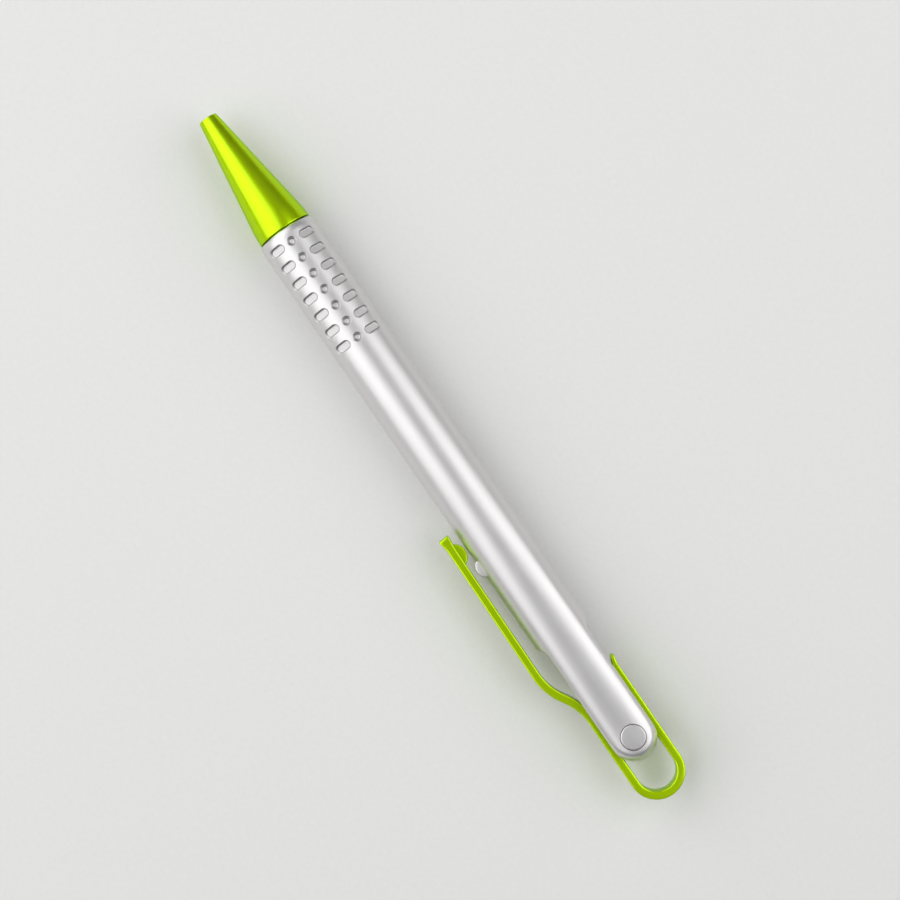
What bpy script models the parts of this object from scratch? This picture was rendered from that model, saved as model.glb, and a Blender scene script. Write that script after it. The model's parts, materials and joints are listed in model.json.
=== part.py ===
"""Retractable ballpoint pen: a dimpled round barrel, a nose cone and a bent clip band that is also the button.

The pen lies on its side. X runs along its axis from the nose tip to the tail, the clip is on -Y and Z is up.
Pieces are drawn from the nose tip, and one empty on the axis then sets the pen down on the ground.
"""

import math

import bmesh
import bpy
from mathutils import Matrix, Vector

MM = 0.001

# Clearances
SEAT_GAP = 0.3 * MM      # between faces that rest on each other
SLIDE_GAP = 0.3 * MM     # round a piece that slides or turns
POINT_GAP = 0.15 * MM    # round the writing tip in the nose
BALL_GAP = 0.06 * MM     # round the ball in its socket

# Nose cone
NOSE_LENGTH = 23.2 * MM
NOSE_TIP_DIAMETER = 3.4 * MM
NOSE_CONE_LENGTH = 20.0 * MM
NOSE_CONE_DIAMETER = 9.28 * MM
NOSE_BASE_DIAMETER = 9.86 * MM
NOSE_TIP_ROUND = 0.12 * MM
SPIGOT_LENGTH = 7.0 * MM
GUIDE_LENGTH = 2.0 * MM

# Barrel
BARREL_DIAMETER = 10.5 * MM
BARREL_LENGTH = 108.6 * MM
BARREL_BORE = 7.8 * MM
BARREL_BORE_DEPTH = 81.0 * MM
BARREL_LIP_LENGTH = 1.2 * MM
BARREL_LIP_DROP = 0.3 * MM
FLATTENING_LENGTH = 59.0 * MM
TONGUE_LENGTH = 25.9 * MM
TONGUE_WIDTH = 8.1 * MM
TONGUE_HEIGHT = 9.2 * MM
TONGUE_BORE = 4.6 * MM
SHOULDER_LENGTH = 2.2 * MM
TAIL_ROUND_PLAN = 3.3 * MM
TAIL_ROUND_SIDE = 2.8 * MM
EDGE_SHARPNESS = 36         # power of the blend between the round skin and its flats
FLANK_FREE = 1.4            # share of the radius at which a flank leaves the round skin alone
SHOULDER_EDGE = 1.08        # the same where the shoulder starts, for a crisp edge

# Dimples of the grip
DIMPLE_ROWS = 7
DIMPLE_PITCH = 3.25 * MM
DIMPLE_FIRST = 2.4 * MM
DIMPLE_DIAMETER = 1.64 * MM
DIMPLE_FLOOR = 1.0 * MM
DIMPLE_DEPTH = 0.42 * MM
DIMPLE_LENGTH = 3.3 * MM
DIMPLE_SIDE_ANGLE = math.radians(36)

# Clip band
STRIP_THICKNESS = 1.45 * MM
STRIP_WIDTH = 3.2 * MM
STRIP_EDGE = 0.15 * MM
LOOP_WIDTH = 6.94 * MM
LOOP_GAP = 6.0 * MM
CHANNEL_RUN = 13.0 * MM
BEND_RADIUS = 10.8 * MM
CLIP_GAP = 1.75 * MM
CLIP_ARM_LENGTH = 26.3 * MM
CLIP_LEAN = math.radians(0.55)
CLIP_FLARE_RADIUS = 5.0 * MM
CLIP_FLARE_ANGLE = math.radians(16)
SHORT_ARM_LENGTH = 18.3 * MM
SHORT_FLARE_RADIUS = 4.5 * MM
SHORT_FLARE_ANGLE = math.radians(26)
CLIP_BUMP_LENGTH = 4.1 * MM
CLIP_BUMP_HEIGHT = 1.27 * MM
CLIP_BUMP_WIDTH = 2.4 * MM
CLIP_BUMP_PLACE = 4.0 * MM
BARREL_BUMP_LENGTH = 3.2 * MM
BARREL_BUMP_HEIGHT = 0.75 * MM
BARREL_BUMP_WIDTH = 3.6 * MM
BARREL_BUMP_PLACE = 66.1 * MM
STUD_DIAMETER = 2.0 * MM
STUD_REACH = 2.5 * MM
STUD_PLACE = 8.1 * MM

# Round disc in the tongue
DISC_DIAMETER = 4.4 * MM
DISC_THICKNESS = 0.6 * MM
DISC_PLACE = 4.9 * MM
DISC_GROOVE = 0.2 * MM

# Click mechanism
TRAVEL = 5.5 * MM
CAM_FINS = 4
FIN_ANGLE = math.radians(30)
RIB_ANGLE = math.radians(45)
CAM_SLANT = 0.8 * MM
FIN_OVERHANG = 0.4 * MM
SLEEVE_LENGTH = 19.0 * MM
SLEEVE_WALL = 0.5 * MM
RIB_LENGTH = 13.2 * MM
ROTOR_FIN_LENGTH = 3.8 * MM
ROTOR_NECK_LENGTH = 2.2 * MM
ROTOR_PEG_DIAMETER = 1.5 * MM
ROTOR_PEG_LENGTH = 3.0 * MM
PLUNGER_DIAMETER = 4.0 * MM
PLUNGER_FIN_LENGTH = 6.0 * MM
PLUNGER_TAIL = 2.5 * MM

# Refill and spring
POINT_DEPTH = 2.0 * MM
BALL_DIAMETER = 1.0 * MM
BALL_SHOW = 0.3 * MM
TIP_DIAMETER = 2.3 * MM
TIP_LIP_DIAMETER = 1.24 * MM
TIP_CONE_LENGTH = 2.6 * MM
TIP_LENGTH = 11.0 * MM
TIP_COLLAR_LENGTH = 1.2 * MM
TIP_SPIGOT_LENGTH = 3.2 * MM
INK_CHANNEL_DIAMETER = 0.6 * MM
TUBE_DIAMETER = 3.0 * MM
TUBE_WALL = 0.4 * MM
INK_LENGTH = 58.0 * MM
INK_GAP = 0.2 * MM
WING_LENGTH = 2.0 * MM
WING_WIDTH = 0.9 * MM
SPRING_LENGTH = 18.1 * MM
SPRING_WIRE = 0.4 * MM
SPRING_GAP = 0.2 * MM
SPRING_TURNS = 9
SPRING_END_PITCH = 0.95 * MM
SPRING_POINTS = 10

# Fineness of the round shapes
ROUND_STEPS = 48
BORE_STEPS = 32
SMALL_STEPS = 24
SLOT_SIDES = 16
DIMPLE_SIDES = 12
BALL_SIDES = 16
BALL_RINGS = 10
BUMP_STEPS = 16
CUP_STEPS = 6
KEY_STEPS = 4
BEND_STEP = math.radians(5)
SHARP_ANGLE = math.radians(35)
FLAT_ANGLE = math.radians(0.5)
WELD = 0.001 * MM
TURN_WELD = 0.01 * MM

# Places along the axis, from the nose tip
BARREL_RADIUS = BARREL_DIAMETER / 2
BORE_RADIUS = BARREL_BORE / 2
BARREL_FRONT = NOSE_LENGTH + SEAT_GAP
BARREL_REAR = BARREL_FRONT + BARREL_LENGTH
BORE_END = BARREL_FRONT + BARREL_BORE_DEPTH
TONGUE_FRONT = BARREL_REAR - TONGUE_LENGTH
LOOP_CENTRE = BARREL_REAR + LOOP_GAP - LOOP_WIDTH / 2
PEN_LENGTH = BARREL_REAR + LOOP_GAP + STRIP_THICKNESS
ARM_OFFSET = (LOOP_WIDTH + STRIP_THICKNESS) / 2
CLIP_OFFSET = BARREL_RADIUS + CLIP_GAP + STRIP_THICKNESS / 2
STUD_X = BARREL_REAR - STUD_PLACE
PLUNGER_REAR = STUD_X + PLUNGER_TAIL
CORE_HALF_WIDTH = LOOP_WIDTH / 2 - SLIDE_GAP
CHANNEL_HEIGHT = STRIP_WIDTH + 2 * SLIDE_GAP
SLEEVE_REAR = BORE_END - SEAT_GAP
SLEEVE_FRONT = SLEEVE_REAR - SLEEVE_LENGTH
SLEEVE_RADIUS = BORE_RADIUS - SEAT_GAP
GROOVE_RADIUS = SLEEVE_RADIUS - SLEEVE_WALL
FIN_RADIUS = GROOVE_RADIUS - SLIDE_GAP
HUB_RADIUS = PLUNGER_DIAMETER / 2
RIB_RADIUS = HUB_RADIUS + SLIDE_GAP
RIB_FRONT = SLEEVE_REAR - RIB_LENGTH
ROTOR_FIN_REAR = RIB_FRONT + TRAVEL - SEAT_GAP
ROTOR_REAR = ROTOR_FIN_REAR - CAM_SLANT
ROTOR_FRONT = ROTOR_REAR - ROTOR_FIN_LENGTH - ROTOR_NECK_LENGTH
PLUNGER_FRONT = ROTOR_REAR + SEAT_GAP
TUBE_RADIUS = TUBE_DIAMETER / 2
TUBE_BORE_RADIUS = TUBE_RADIUS - TUBE_WALL
TIP_LIP = POINT_DEPTH + BALL_SHOW
COLLAR_FRONT = TIP_LIP + TIP_LENGTH
TUBE_FRONT = COLLAR_FRONT + TIP_COLLAR_LENGTH + SEAT_GAP
TUBE_REAR = ROTOR_FRONT - SEAT_GAP
GUIDE_FRONT = COLLAR_FRONT - TRAVEL - SEAT_GAP
SPRING_SEAT = GUIDE_FRONT + GUIDE_LENGTH
SPRING_RADIUS = TUBE_RADIUS + SPRING_GAP + SPRING_WIRE / 2
SPRING_REACH = SPRING_RADIUS + SPRING_WIRE / 2
CHAMBER_RADIUS = SPRING_REACH + SLIDE_GAP
SPRING_FRONT = SPRING_SEAT + SEAT_GAP
SPRING_REAR = SPRING_FRONT + SPRING_LENGTH
WING_FRONT = SPRING_REAR + SEAT_GAP

# Colours: base colour, metallic, roughness
SATIN_SILVER = ((0.62, 0.62, 0.62), 0.85, 0.32)
LIME_METALLIC = ((0.40, 0.58, 0.0), 0.6, 0.3)
STEEL = ((0.55, 0.55, 0.57), 1.0, 0.25)
BRASS = ((0.72, 0.53, 0.22), 1.0, 0.3)
WHITE_PLASTIC = ((0.82, 0.82, 0.80), 0.0, 0.45)
CLEAR_PLASTIC = ((0.86, 0.87, 0.86), 0.0, 0.3)
INK_BLUE = ((0.02, 0.04, 0.22), 0.0, 0.25)
CARBIDE = ((0.30, 0.30, 0.32), 1.0, 0.15)

for old in list(bpy.data.objects):
    bpy.data.objects.remove(old)

pen = bpy.data.collections.new("ballpoint_pen")
cutters = bpy.data.collections.new("cutters")
cutters.hide_render = True
bpy.context.scene.collection.children.link(pen)
bpy.context.scene.collection.children.link(cutters)


def finish(name, colour, metallic, roughness):
    """A plain Principled material for one piece."""
    material = bpy.data.materials.new(name)
    material.use_nodes = True
    shader = material.node_tree.nodes["Principled BSDF"]
    shader.inputs["Base Color"].default_value = (*colour, 1)
    shader.inputs["Metallic"].default_value = metallic
    shader.inputs["Roughness"].default_value = roughness
    material.diffuse_color = (*colour, 1)
    return material


def piece(name, data, look):
    """Add a piece of the pen, held by the empty on the pen's axis."""
    part = bpy.data.objects.new(name, data)
    data.materials.clear()
    data.materials.append(finish(name, *look))
    part.parent = axis
    pen.objects.link(part)
    return part


def tool(name, data):
    """Add a shape that only cuts or joins."""
    shape = bpy.data.objects.new(name, data)
    shape.parent = axis
    shape.hide_render = True
    shape.display_type = "WIRE"
    cutters.objects.link(shape)
    return shape


def combine(target, other, operation):
    """Cut another shape from a piece, or join it on."""
    step = target.modifiers.new(other.name, "BOOLEAN")
    step.operation = operation
    step.solver = "EXACT"
    step.object = other


def polyline(name, points, closed):
    """A mesh of edges through points, for a Screw modifier to turn."""
    mesh = bpy.data.meshes.new(name)
    ends = [(i, i + 1) for i in range(len(points) - 1)]
    if closed:
        ends.append((len(points) - 1, 0))
    mesh.from_pydata([(x, radius, 0) for x, radius in points], ends, [])
    return mesh


def turn(shape, steps):
    """Turn a profile of (place, radius) points about the pen's axis."""
    screw = shape.modifiers.new("turned", "SCREW")
    screw.axis = "X"
    screw.angle = math.tau
    screw.steps = steps
    screw.render_steps = steps
    screw.use_merge_vertices = True
    screw.merge_threshold = TURN_WELD
    screw.use_smooth_shade = True
    return shape


def turned_tool(name, points, steps=ROUND_STEPS):
    return turn(tool(name, polyline(name, points, False)), steps)


def mesh_from(name, build):
    """A mesh made by a function that fills a bmesh."""
    mesh = bpy.data.meshes.new(name)
    shape = bmesh.new()
    build(shape)
    bmesh.ops.recalc_face_normals(shape, faces=shape.faces)
    if shape.calc_volume(signed=True) < 0:
        bmesh.ops.reverse_faces(shape, faces=shape.faces)
    shape.to_mesh(mesh)
    shape.free()
    return mesh


def loft(shape, rings):
    """Skin a row of rings that have the same number of points, and cap both ends."""
    rows = [[shape.verts.new(point) for point in ring] for ring in rings]
    for row, following in zip(rows, rows[1:]):
        for i in range(len(row)):
            j = (i + 1) % len(row)
            shape.faces.new((row[i], row[j], following[j], following[i]))
    shape.faces.new(list(reversed(rows[0])))
    shape.faces.new(rows[-1])


def rod(name, radius, length, sides):
    """A plain cylinder along Z, about the origin, as a mesh."""
    return mesh_from(
        name,
        lambda shape: bmesh.ops.create_cone(
            shape, cap_ends=True, segments=sides, radius1=radius, radius2=radius, depth=length
        ),
    )


def hull_of_cones(shape, radius_low, radius_high, height, half_span, sides):
    """A round or oblong plug along Z: the hull of two cones set apart along Y."""
    for side in (-1, 1):
        bmesh.ops.create_cone(
            shape,
            cap_ends=True,
            segments=sides,
            radius1=radius_low,
            radius2=radius_high,
            depth=height,
            matrix=Matrix.Translation((0, side * half_span, height / 2)),
        )
    bmesh.ops.delete(shape, geom=[*shape.edges, *shape.faces], context="EDGES_FACES")
    bmesh.ops.remove_doubles(shape, verts=shape.verts, dist=WELD)
    hull = bmesh.ops.convex_hull(shape, input=shape.verts)
    bmesh.ops.delete(shape, geom=hull["geom_interior"], context="VERTS")


def plate(name, outline, height):
    """A flat outline in the plane of the clip, extruded evenly above and below it, as a mesh."""
    curve = bpy.data.curves.new(name, "CURVE")
    curve.dimensions = "2D"
    curve.fill_mode = "BOTH"
    curve.extrude = height / 2
    spline = curve.splines.new("POLY")
    spline.points.add(len(outline) - 1)
    for point, place in zip(spline.points, outline):
        point.co = (place[0], place[1], 0, 1)
    spline.use_cyclic_u = True
    drawn = bpy.data.objects.new(name, curve)
    pen.objects.link(drawn)
    graph = bpy.context.evaluated_depsgraph_get()
    mesh = bpy.data.meshes.new_from_object(drawn.evaluated_get(graph))
    bpy.data.objects.remove(drawn)
    bpy.data.curves.remove(curve)
    welded = bmesh.new()
    welded.from_mesh(mesh)
    bmesh.ops.remove_doubles(welded, verts=welded.verts, dist=WELD)
    bmesh.ops.dissolve_limit(welded, angle_limit=FLAT_ANGLE, verts=welded.verts, edges=welded.edges)
    bmesh.ops.recalc_face_normals(welded, faces=welded.faces)
    welded.to_mesh(mesh)
    welded.free()
    return mesh


def smooth(t):
    t = min(max(t, 0), 1)
    return t * t * (3 - 2 * t)


# The empty that carries the pen: its ground point is under the middle of the whole outline
clip_reach = CLIP_OFFSET + STRIP_THICKNESS / 2
axis = bpy.data.objects.new("pen_axis", None)
axis.location = (-PEN_LENGTH / 2, (clip_reach - BARREL_RADIUS) / 2, BARREL_RADIUS)
pen.objects.link(axis)


# Barrel


def end_round(x, length):
    """How much of its size a rounded end keeps at a place along the axis."""
    into = max(x - (BARREL_REAR - length), 0) / length
    return math.sqrt(max(1 - into * into, 0))


def half_height(x):
    """Where the top and bottom flats lie: planes that cut ever deeper into the round, and run level at the disc."""
    flat = TONGUE_HEIGHT / 2
    start = BARREL_REAR - FLATTENING_LENGTH
    level = BARREL_REAR - DISC_PLACE - DISC_DIAMETER
    slope = (BARREL_RADIUS - flat) / (level - start)
    return (flat + slope * max(level - x, 0)) * end_round(x, TAIL_ROUND_SIDE)


def half_width(x):
    """Where the flanks lie: a hollow shoulder runs down from the round barrel to the tongue."""
    flank = TONGUE_WIDTH / 2
    wide = BARREL_RADIUS * (FLANK_FREE if x < TONGUE_FRONT else SHOULDER_EDGE)
    into = min(max((x - TONGUE_FRONT) / SHOULDER_LENGTH, 0), 1)
    fall = math.sqrt(1 - (1 - into) ** 2)
    return (wide + (flank - wide) * fall) * end_round(x, TAIL_ROUND_PLAN)


def lip_drop(x):
    """The rounded front edge of the barrel."""
    left = max(1 - (x - BARREL_FRONT) / BARREL_LIP_LENGTH, 0)
    return BARREL_LIP_DROP * left * left


def barrel_radius(x, angle):
    """Radius of the barrel's skin: a circle, softly cut by the flats and the flanks."""
    power = EDGE_SHARPNESS
    circle = (BARREL_RADIUS - lip_drop(x)) ** -power
    flat = (abs(math.sin(angle)) / half_height(x)) ** power
    flank = (abs(math.cos(angle)) / half_width(x)) ** power
    return (circle + flat + flank) ** (-1 / power)


def barrel_ring(x):
    angles = [math.tau * k / ROUND_STEPS for k in range(ROUND_STEPS)]
    return [
        (x, barrel_radius(x, a) * math.cos(a), barrel_radius(x, a) * math.sin(a))
        for a in angles
    ]


def barrel_places():
    """Places of the rings: close where the form changes, far apart where it is straight."""
    lip = [BARREL_FRONT + BARREL_LIP_LENGTH * k / 3 for k in range(4)]
    flat_start = BARREL_REAR - FLATTENING_LENGTH
    easing = [flat_start + (TONGUE_FRONT - flat_start) * k / 7 for k in range(8)]
    shoulder = [TONGUE_FRONT + SHOULDER_LENGTH * k for k in (0.02, 0.12, 0.3, 0.6, 1)]
    tail_round = max(TAIL_ROUND_PLAN, TAIL_ROUND_SIDE)
    tail_start = BARREL_REAR - tail_round
    tongue_start = TONGUE_FRONT + SHOULDER_LENGTH
    tongue = [tongue_start + (tail_start - tongue_start) * k / 5 for k in range(1, 6)]
    tail = [tail_start + tail_round * math.sin(math.radians(a)) for a in (14, 28, 42, 55, 67, 77, 85)]
    return lip + easing + shoulder + tongue + tail


def dimple_cutters(shape):
    """All the grip's dimples, on the top and the underside: a round one between two oblong ones in each row."""
    rim = DIMPLE_DIAMETER / 2
    floor = DIMPLE_FLOOR / 2
    # The plug goes on past the skin, as far again and with the same slope.
    above = 2 * rim - floor
    columns = ((-1, DIMPLE_LENGTH - DIMPLE_DIAMETER), (0, 0), (1, DIMPLE_LENGTH - DIMPLE_DIAMETER))
    for row in range(DIMPLE_ROWS):
        x = BARREL_FRONT + DIMPLE_FIRST + DIMPLE_PITCH * row
        for below in (0, math.pi):
            for side, span in columns:
                plug = bmesh.new()
                hull_of_cones(plug, floor, above, 2 * DIMPLE_DEPTH, span / 2, DIMPLE_SIDES)
                lift = Matrix.Translation((x, 0, BARREL_RADIUS - DIMPLE_DEPTH))
                roll = Matrix.Rotation(below + side * DIMPLE_SIDE_ANGLE, 4, "X")
                plug.transform(roll @ lift)
                made = bpy.data.meshes.new("dimple")
                plug.to_mesh(made)
                plug.free()
                shape.from_mesh(made)
                bpy.data.meshes.remove(made)


def bump_outline(centre_x, face_y, length, height, root):
    """A half-round bump seen from above: an arc that stands on a face, and a root sunk below it."""
    radius = (length * length / 4 + height * height) / (2 * height)
    half = math.asin(length / 2 / radius)
    sunk = face_y + root
    arc = [half * (1 - 2 * k / BUMP_STEPS) for k in range(BUMP_STEPS + 1)]
    side = -1 if root > 0 else 1
    centre_y = face_y + side * (height - radius)
    points = [(centre_x + radius * math.sin(a), centre_y + side * radius * math.cos(a)) for a in arc]
    return points + [(centre_x - length / 2, sunk), (centre_x + length / 2, sunk)]


def channel_cutter(shape):
    """The space of the band's arms: everything beside the core, which ends in a half round."""
    outer = BARREL_RADIUS + CLIP_GAP
    start = TONGUE_FRONT + SHOULDER_LENGTH
    end = PEN_LENGTH
    round_centre = BARREL_REAR - CORE_HALF_WIDTH
    turns = [math.pi * (k / SLOT_SIDES - 0.5) for k in range(SLOT_SIDES + 1)]
    core = [
        (round_centre + CORE_HALF_WIDTH * math.cos(a), CORE_HALF_WIDTH * math.sin(a)) for a in turns
    ]
    left = [(start, -CORE_HALF_WIDTH), *core, (start, CORE_HALF_WIDTH)]
    right = [(start, outer), (end, outer), (end, -outer), (start, -outer)]
    low = [shape.verts.new((x, y, -CHANNEL_HEIGHT / 2)) for x, y in left + right]
    high = [shape.verts.new((x, y, CHANNEL_HEIGHT / 2)) for x, y in left + right]
    count = len(low)
    for i in range(count):
        j = (i + 1) % count
        shape.faces.new((low[i], low[j], high[j], high[i]))
    shape.faces.new(list(reversed(low)))
    shape.faces.new(high)


def slot_cutter(shape):
    """The slot through the core that the band's studs slide in."""
    radius = STUD_DIAMETER / 2 + SLIDE_GAP
    hull_of_cones(shape, radius, radius, 2 * BARREL_RADIUS, TRAVEL / 2, SLOT_SIDES)
    middle = Matrix.Translation((STUD_X - TRAVEL / 2, BARREL_RADIUS, 0))
    lay = Matrix.Rotation(math.radians(90), 4, "X") @ Matrix.Rotation(math.radians(90), 4, "Z")
    shape.transform(middle @ lay)


def tongue_top():
    return barrel_radius(BARREL_REAR - DISC_PLACE, math.pi / 2)


def make_barrel():
    skin = mesh_from("barrel", lambda shape: loft(shape, [barrel_ring(x) for x in barrel_places()]))
    skin.shade_smooth()
    skin.set_sharp_from_angle(angle=SHARP_ANGLE)
    barrel = piece("barrel", skin, SATIN_SILVER)

    outline = bump_outline(
        BARREL_FRONT + BARREL_BUMP_PLACE,
        -BARREL_RADIUS,
        BARREL_BUMP_LENGTH,
        BARREL_BUMP_HEIGHT,
        (BARREL_RADIUS - BORE_RADIUS) / 2,
    )
    combine(barrel, tool("barrel_bump", plate("barrel_bump", outline, BARREL_BUMP_WIDTH)), "UNION")

    bore_start = BARREL_FRONT - NOSE_LENGTH / 2
    bore_stop = PLUNGER_REAR + SEAT_GAP
    tongue_bore = TONGUE_BORE / 2
    bore = turned_tool(
        "bore",
        [
            (bore_stop, 0),
            (bore_stop, tongue_bore),
            (BORE_END, tongue_bore),
            (BORE_END, BORE_RADIUS),
            (bore_start, BORE_RADIUS),
            (bore_start, 0),
        ],
        BORE_STEPS,
    )
    combine(barrel, bore, "DIFFERENCE")
    combine(barrel, tool("channels", mesh_from("channels", channel_cutter)), "DIFFERENCE")
    combine(barrel, tool("stud_slot", mesh_from("stud_slot", slot_cutter)), "DIFFERENCE")

    pocket = rod("disc_pocket", DISC_DIAMETER / 2 + DISC_GROOVE, BARREL_RADIUS, ROUND_STEPS)
    hole = tool("disc_pocket", pocket)
    pocket_floor = tongue_top() - DISC_THICKNESS - SEAT_GAP
    hole.location = (BARREL_REAR - DISC_PLACE, 0, pocket_floor + BARREL_RADIUS / 2)
    combine(barrel, hole, "DIFFERENCE")
    combine(barrel, tool("dimples", mesh_from("dimples", dimple_cutters)), "DIFFERENCE")


def make_end_disc():
    """The plain round disc that lies flush in the tongue."""
    inlay = piece("end_disc", rod("end_disc", DISC_DIAMETER / 2, DISC_THICKNESS, ROUND_STEPS), SATIN_SILVER)
    inlay.location = (BARREL_REAR - DISC_PLACE, 0, tongue_top() - DISC_THICKNESS / 2)


# Nose cone


def make_nose():
    """A straight cone that eases into a nearly straight base, with a spigot and the spring's chamber."""
    tip = NOSE_TIP_DIAMETER / 2
    cone = NOSE_CONE_DIAMETER / 2
    base = NOSE_BASE_DIAMETER / 2
    slope = (cone - tip) / NOSE_CONE_LENGTH
    run = NOSE_LENGTH - NOSE_CONE_LENGTH
    bend = base - cone - slope * run
    easing = [
        (NOSE_CONE_LENGTH + run * t, cone + slope * run * t + bend * t * t) for t in (0.25, 0.5, 0.75, 1)
    ]
    spigot = BORE_RADIUS - SEAT_GAP
    spigot_end = NOSE_LENGTH + SPIGOT_LENGTH
    mouth = TIP_DIAMETER / 2 + POINT_GAP
    guide = TUBE_RADIUS + SLIDE_GAP
    profile = [
        (0, mouth),
        (0, tip - NOSE_TIP_ROUND),
        (NOSE_TIP_ROUND, tip),
        (NOSE_CONE_LENGTH, cone),
        *easing,
        (NOSE_LENGTH, spigot),
        (spigot_end, spigot),
        (spigot_end, CHAMBER_RADIUS),
        (SPRING_SEAT, CHAMBER_RADIUS),
        (SPRING_SEAT, guide),
        (GUIDE_FRONT, guide),
        (GUIDE_FRONT, mouth),
    ]
    profile.reverse()
    turn(piece("nose_cone", polyline("nose_cone", profile, True), LIME_METALLIC), ROUND_STEPS)


# Clip band


def walk(start, heading, legs):
    """Points along a path of legs from a start: each leg is (length, 0) straight on, or (radius, turn to the left)."""
    place = Vector(start)
    points = [place.copy()]
    for size, bend in legs:
        steps = max(1, math.ceil(abs(bend) / BEND_STEP))
        for _ in range(steps):
            if bend:
                chord = 2 * size * math.sin(abs(bend) / steps / 2)
                heading += bend / steps / 2
            else:
                chord = size
            place = place + chord * Vector((math.cos(heading), math.sin(heading)))
            heading += bend / steps / 2
            points.append(place.copy())
    return points


def band_path():
    """The middle line of the band, from the clip's free end round the loop to the short arm's end."""
    sideways = CLIP_OFFSET - ARM_OFFSET
    bend = math.acos(1 - sideways / (2 * BEND_RADIUS))
    left = walk(
        (LOOP_CENTRE, -ARM_OFFSET),
        math.pi,
        [
            (CHANNEL_RUN, 0),
            (BEND_RADIUS, bend),
            (BEND_RADIUS, -bend - CLIP_LEAN),
            (CLIP_ARM_LENGTH, 0),
            (CLIP_FLARE_RADIUS, CLIP_FLARE_ANGLE),
        ],
    )
    loop = walk((LOOP_CENTRE, -ARM_OFFSET), 0, [(ARM_OFFSET, math.pi)])
    right = walk(
        (LOOP_CENTRE, ARM_OFFSET),
        math.pi,
        [(SHORT_ARM_LENGTH, 0), (SHORT_FLARE_RADIUS, -SHORT_FLARE_ANGLE)],
    )
    return list(reversed(left)) + loop[1:] + right[1:]


def strip_outline(path, thickness):
    """Both edges of a strip of even thickness along a path, as one closed outline."""
    edges = ([], [])
    for i, here in enumerate(path):
        ahead = (path[min(i + 1, len(path) - 1)] - here).normalized()
        behind = (here - path[max(i - 1, 0)]).normalized()
        along = (ahead + behind).normalized()
        across = Vector((-along.y, along.x)) * thickness / 2
        edges[0].append(here + across)
        edges[1].append(here - across)
    return edges[0] + list(reversed(edges[1]))


def clip_face(distance):
    """A point on the clip arm's inner face, at a distance from the start of its flare."""
    path = band_path()
    flare_steps = math.ceil(CLIP_FLARE_ANGLE / BEND_STEP)
    start = path[flare_steps]
    along = (path[flare_steps + 1] - start).normalized()
    inward = Vector((-along.y, along.x))
    return start + along * distance + inward * STRIP_THICKNESS / 2, along


def make_band():
    flat = plate("clip_band", strip_outline(band_path(), STRIP_THICKNESS), STRIP_WIDTH)
    band = piece("clip_band", flat, LIME_METALLIC)
    soften = band.modifiers.new("softened edges", "BEVEL")
    soften.width = STRIP_EDGE
    soften.segments = 1
    soften.limit_method = "ANGLE"
    soften.angle_limit = math.radians(60)

    place, along = clip_face(CLIP_BUMP_PLACE - CLIP_BUMP_LENGTH / 2)
    bump = tool(
        "clip_bump",
        plate(
            "clip_bump",
            bump_outline(0, 0, CLIP_BUMP_LENGTH, CLIP_BUMP_HEIGHT, -STRIP_THICKNESS / 2),
            CLIP_BUMP_WIDTH,
        ),
    )
    bump.location = (*place, 0)
    bump.rotation_euler = (0, 0, math.atan2(along.y, along.x))
    combine(band, bump, "UNION")

    length = STUD_REACH + STRIP_THICKNESS / 2
    for side, name in ((-1, "clip_side_stud"), (1, "short_side_stud")):
        stud = tool(name, rod(name, STUD_DIAMETER / 2, length, SMALL_STEPS))
        stud.rotation_euler = (math.radians(90), 0, 0)
        stud.location = (STUD_X, side * (ARM_OFFSET - length / 2), 0)
        combine(band, stud, "UNION")


# Click mechanism


def sector(shape, radii, middle, spread, front, rear):
    """A curved key between two radii: its front and rear each have a place at either edge of its spread."""
    rings = []
    for k in range(KEY_STEPS + 1):
        share = k / KEY_STEPS
        angle = middle + spread * (share - 0.5)
        low = front[0] + (front[1] - front[0]) * share
        high = rear[0] + (rear[1] - rear[0]) * share
        rings.append(
            [
                (x, radius * math.cos(angle), radius * math.sin(angle))
                for x, radius in ((low, radii[0]), (high, radii[0]), (high, radii[1]), (low, radii[1]))
            ]
        )
    loft(shape, rings)


def keys(name, radii, spread, phase, front, rear):
    """The ring of equal keys of a cam piece, as one tool."""

    def build(shape):
        for k in range(CAM_FINS):
            sector(shape, radii, phase + math.tau * k / CAM_FINS, spread, front, rear)

    return tool(name, mesh_from(name, build))


def make_sleeve():
    """The fixed guide: a tube with ribs whose front ends slant."""
    profile = [
        (SLEEVE_REAR, GROOVE_RADIUS),
        (SLEEVE_REAR, SLEEVE_RADIUS),
        (SLEEVE_FRONT, SLEEVE_RADIUS),
        (SLEEVE_FRONT, GROOVE_RADIUS),
    ]
    sleeve = turn(piece("cam_sleeve", polyline("cam_sleeve", profile, True), WHITE_PLASTIC), ROUND_STEPS)
    root = GROOVE_RADIUS + SLEEVE_WALL / 2
    between = math.pi / CAM_FINS
    ribs = keys(
        "sleeve_ribs",
        (RIB_RADIUS, root),
        RIB_ANGLE,
        between,
        (RIB_FRONT, RIB_FRONT + CAM_SLANT),
        (SLEEVE_REAR - SEAT_GAP, SLEEVE_REAR - SEAT_GAP),
    )
    combine(sleeve, ribs, "UNION")


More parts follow.
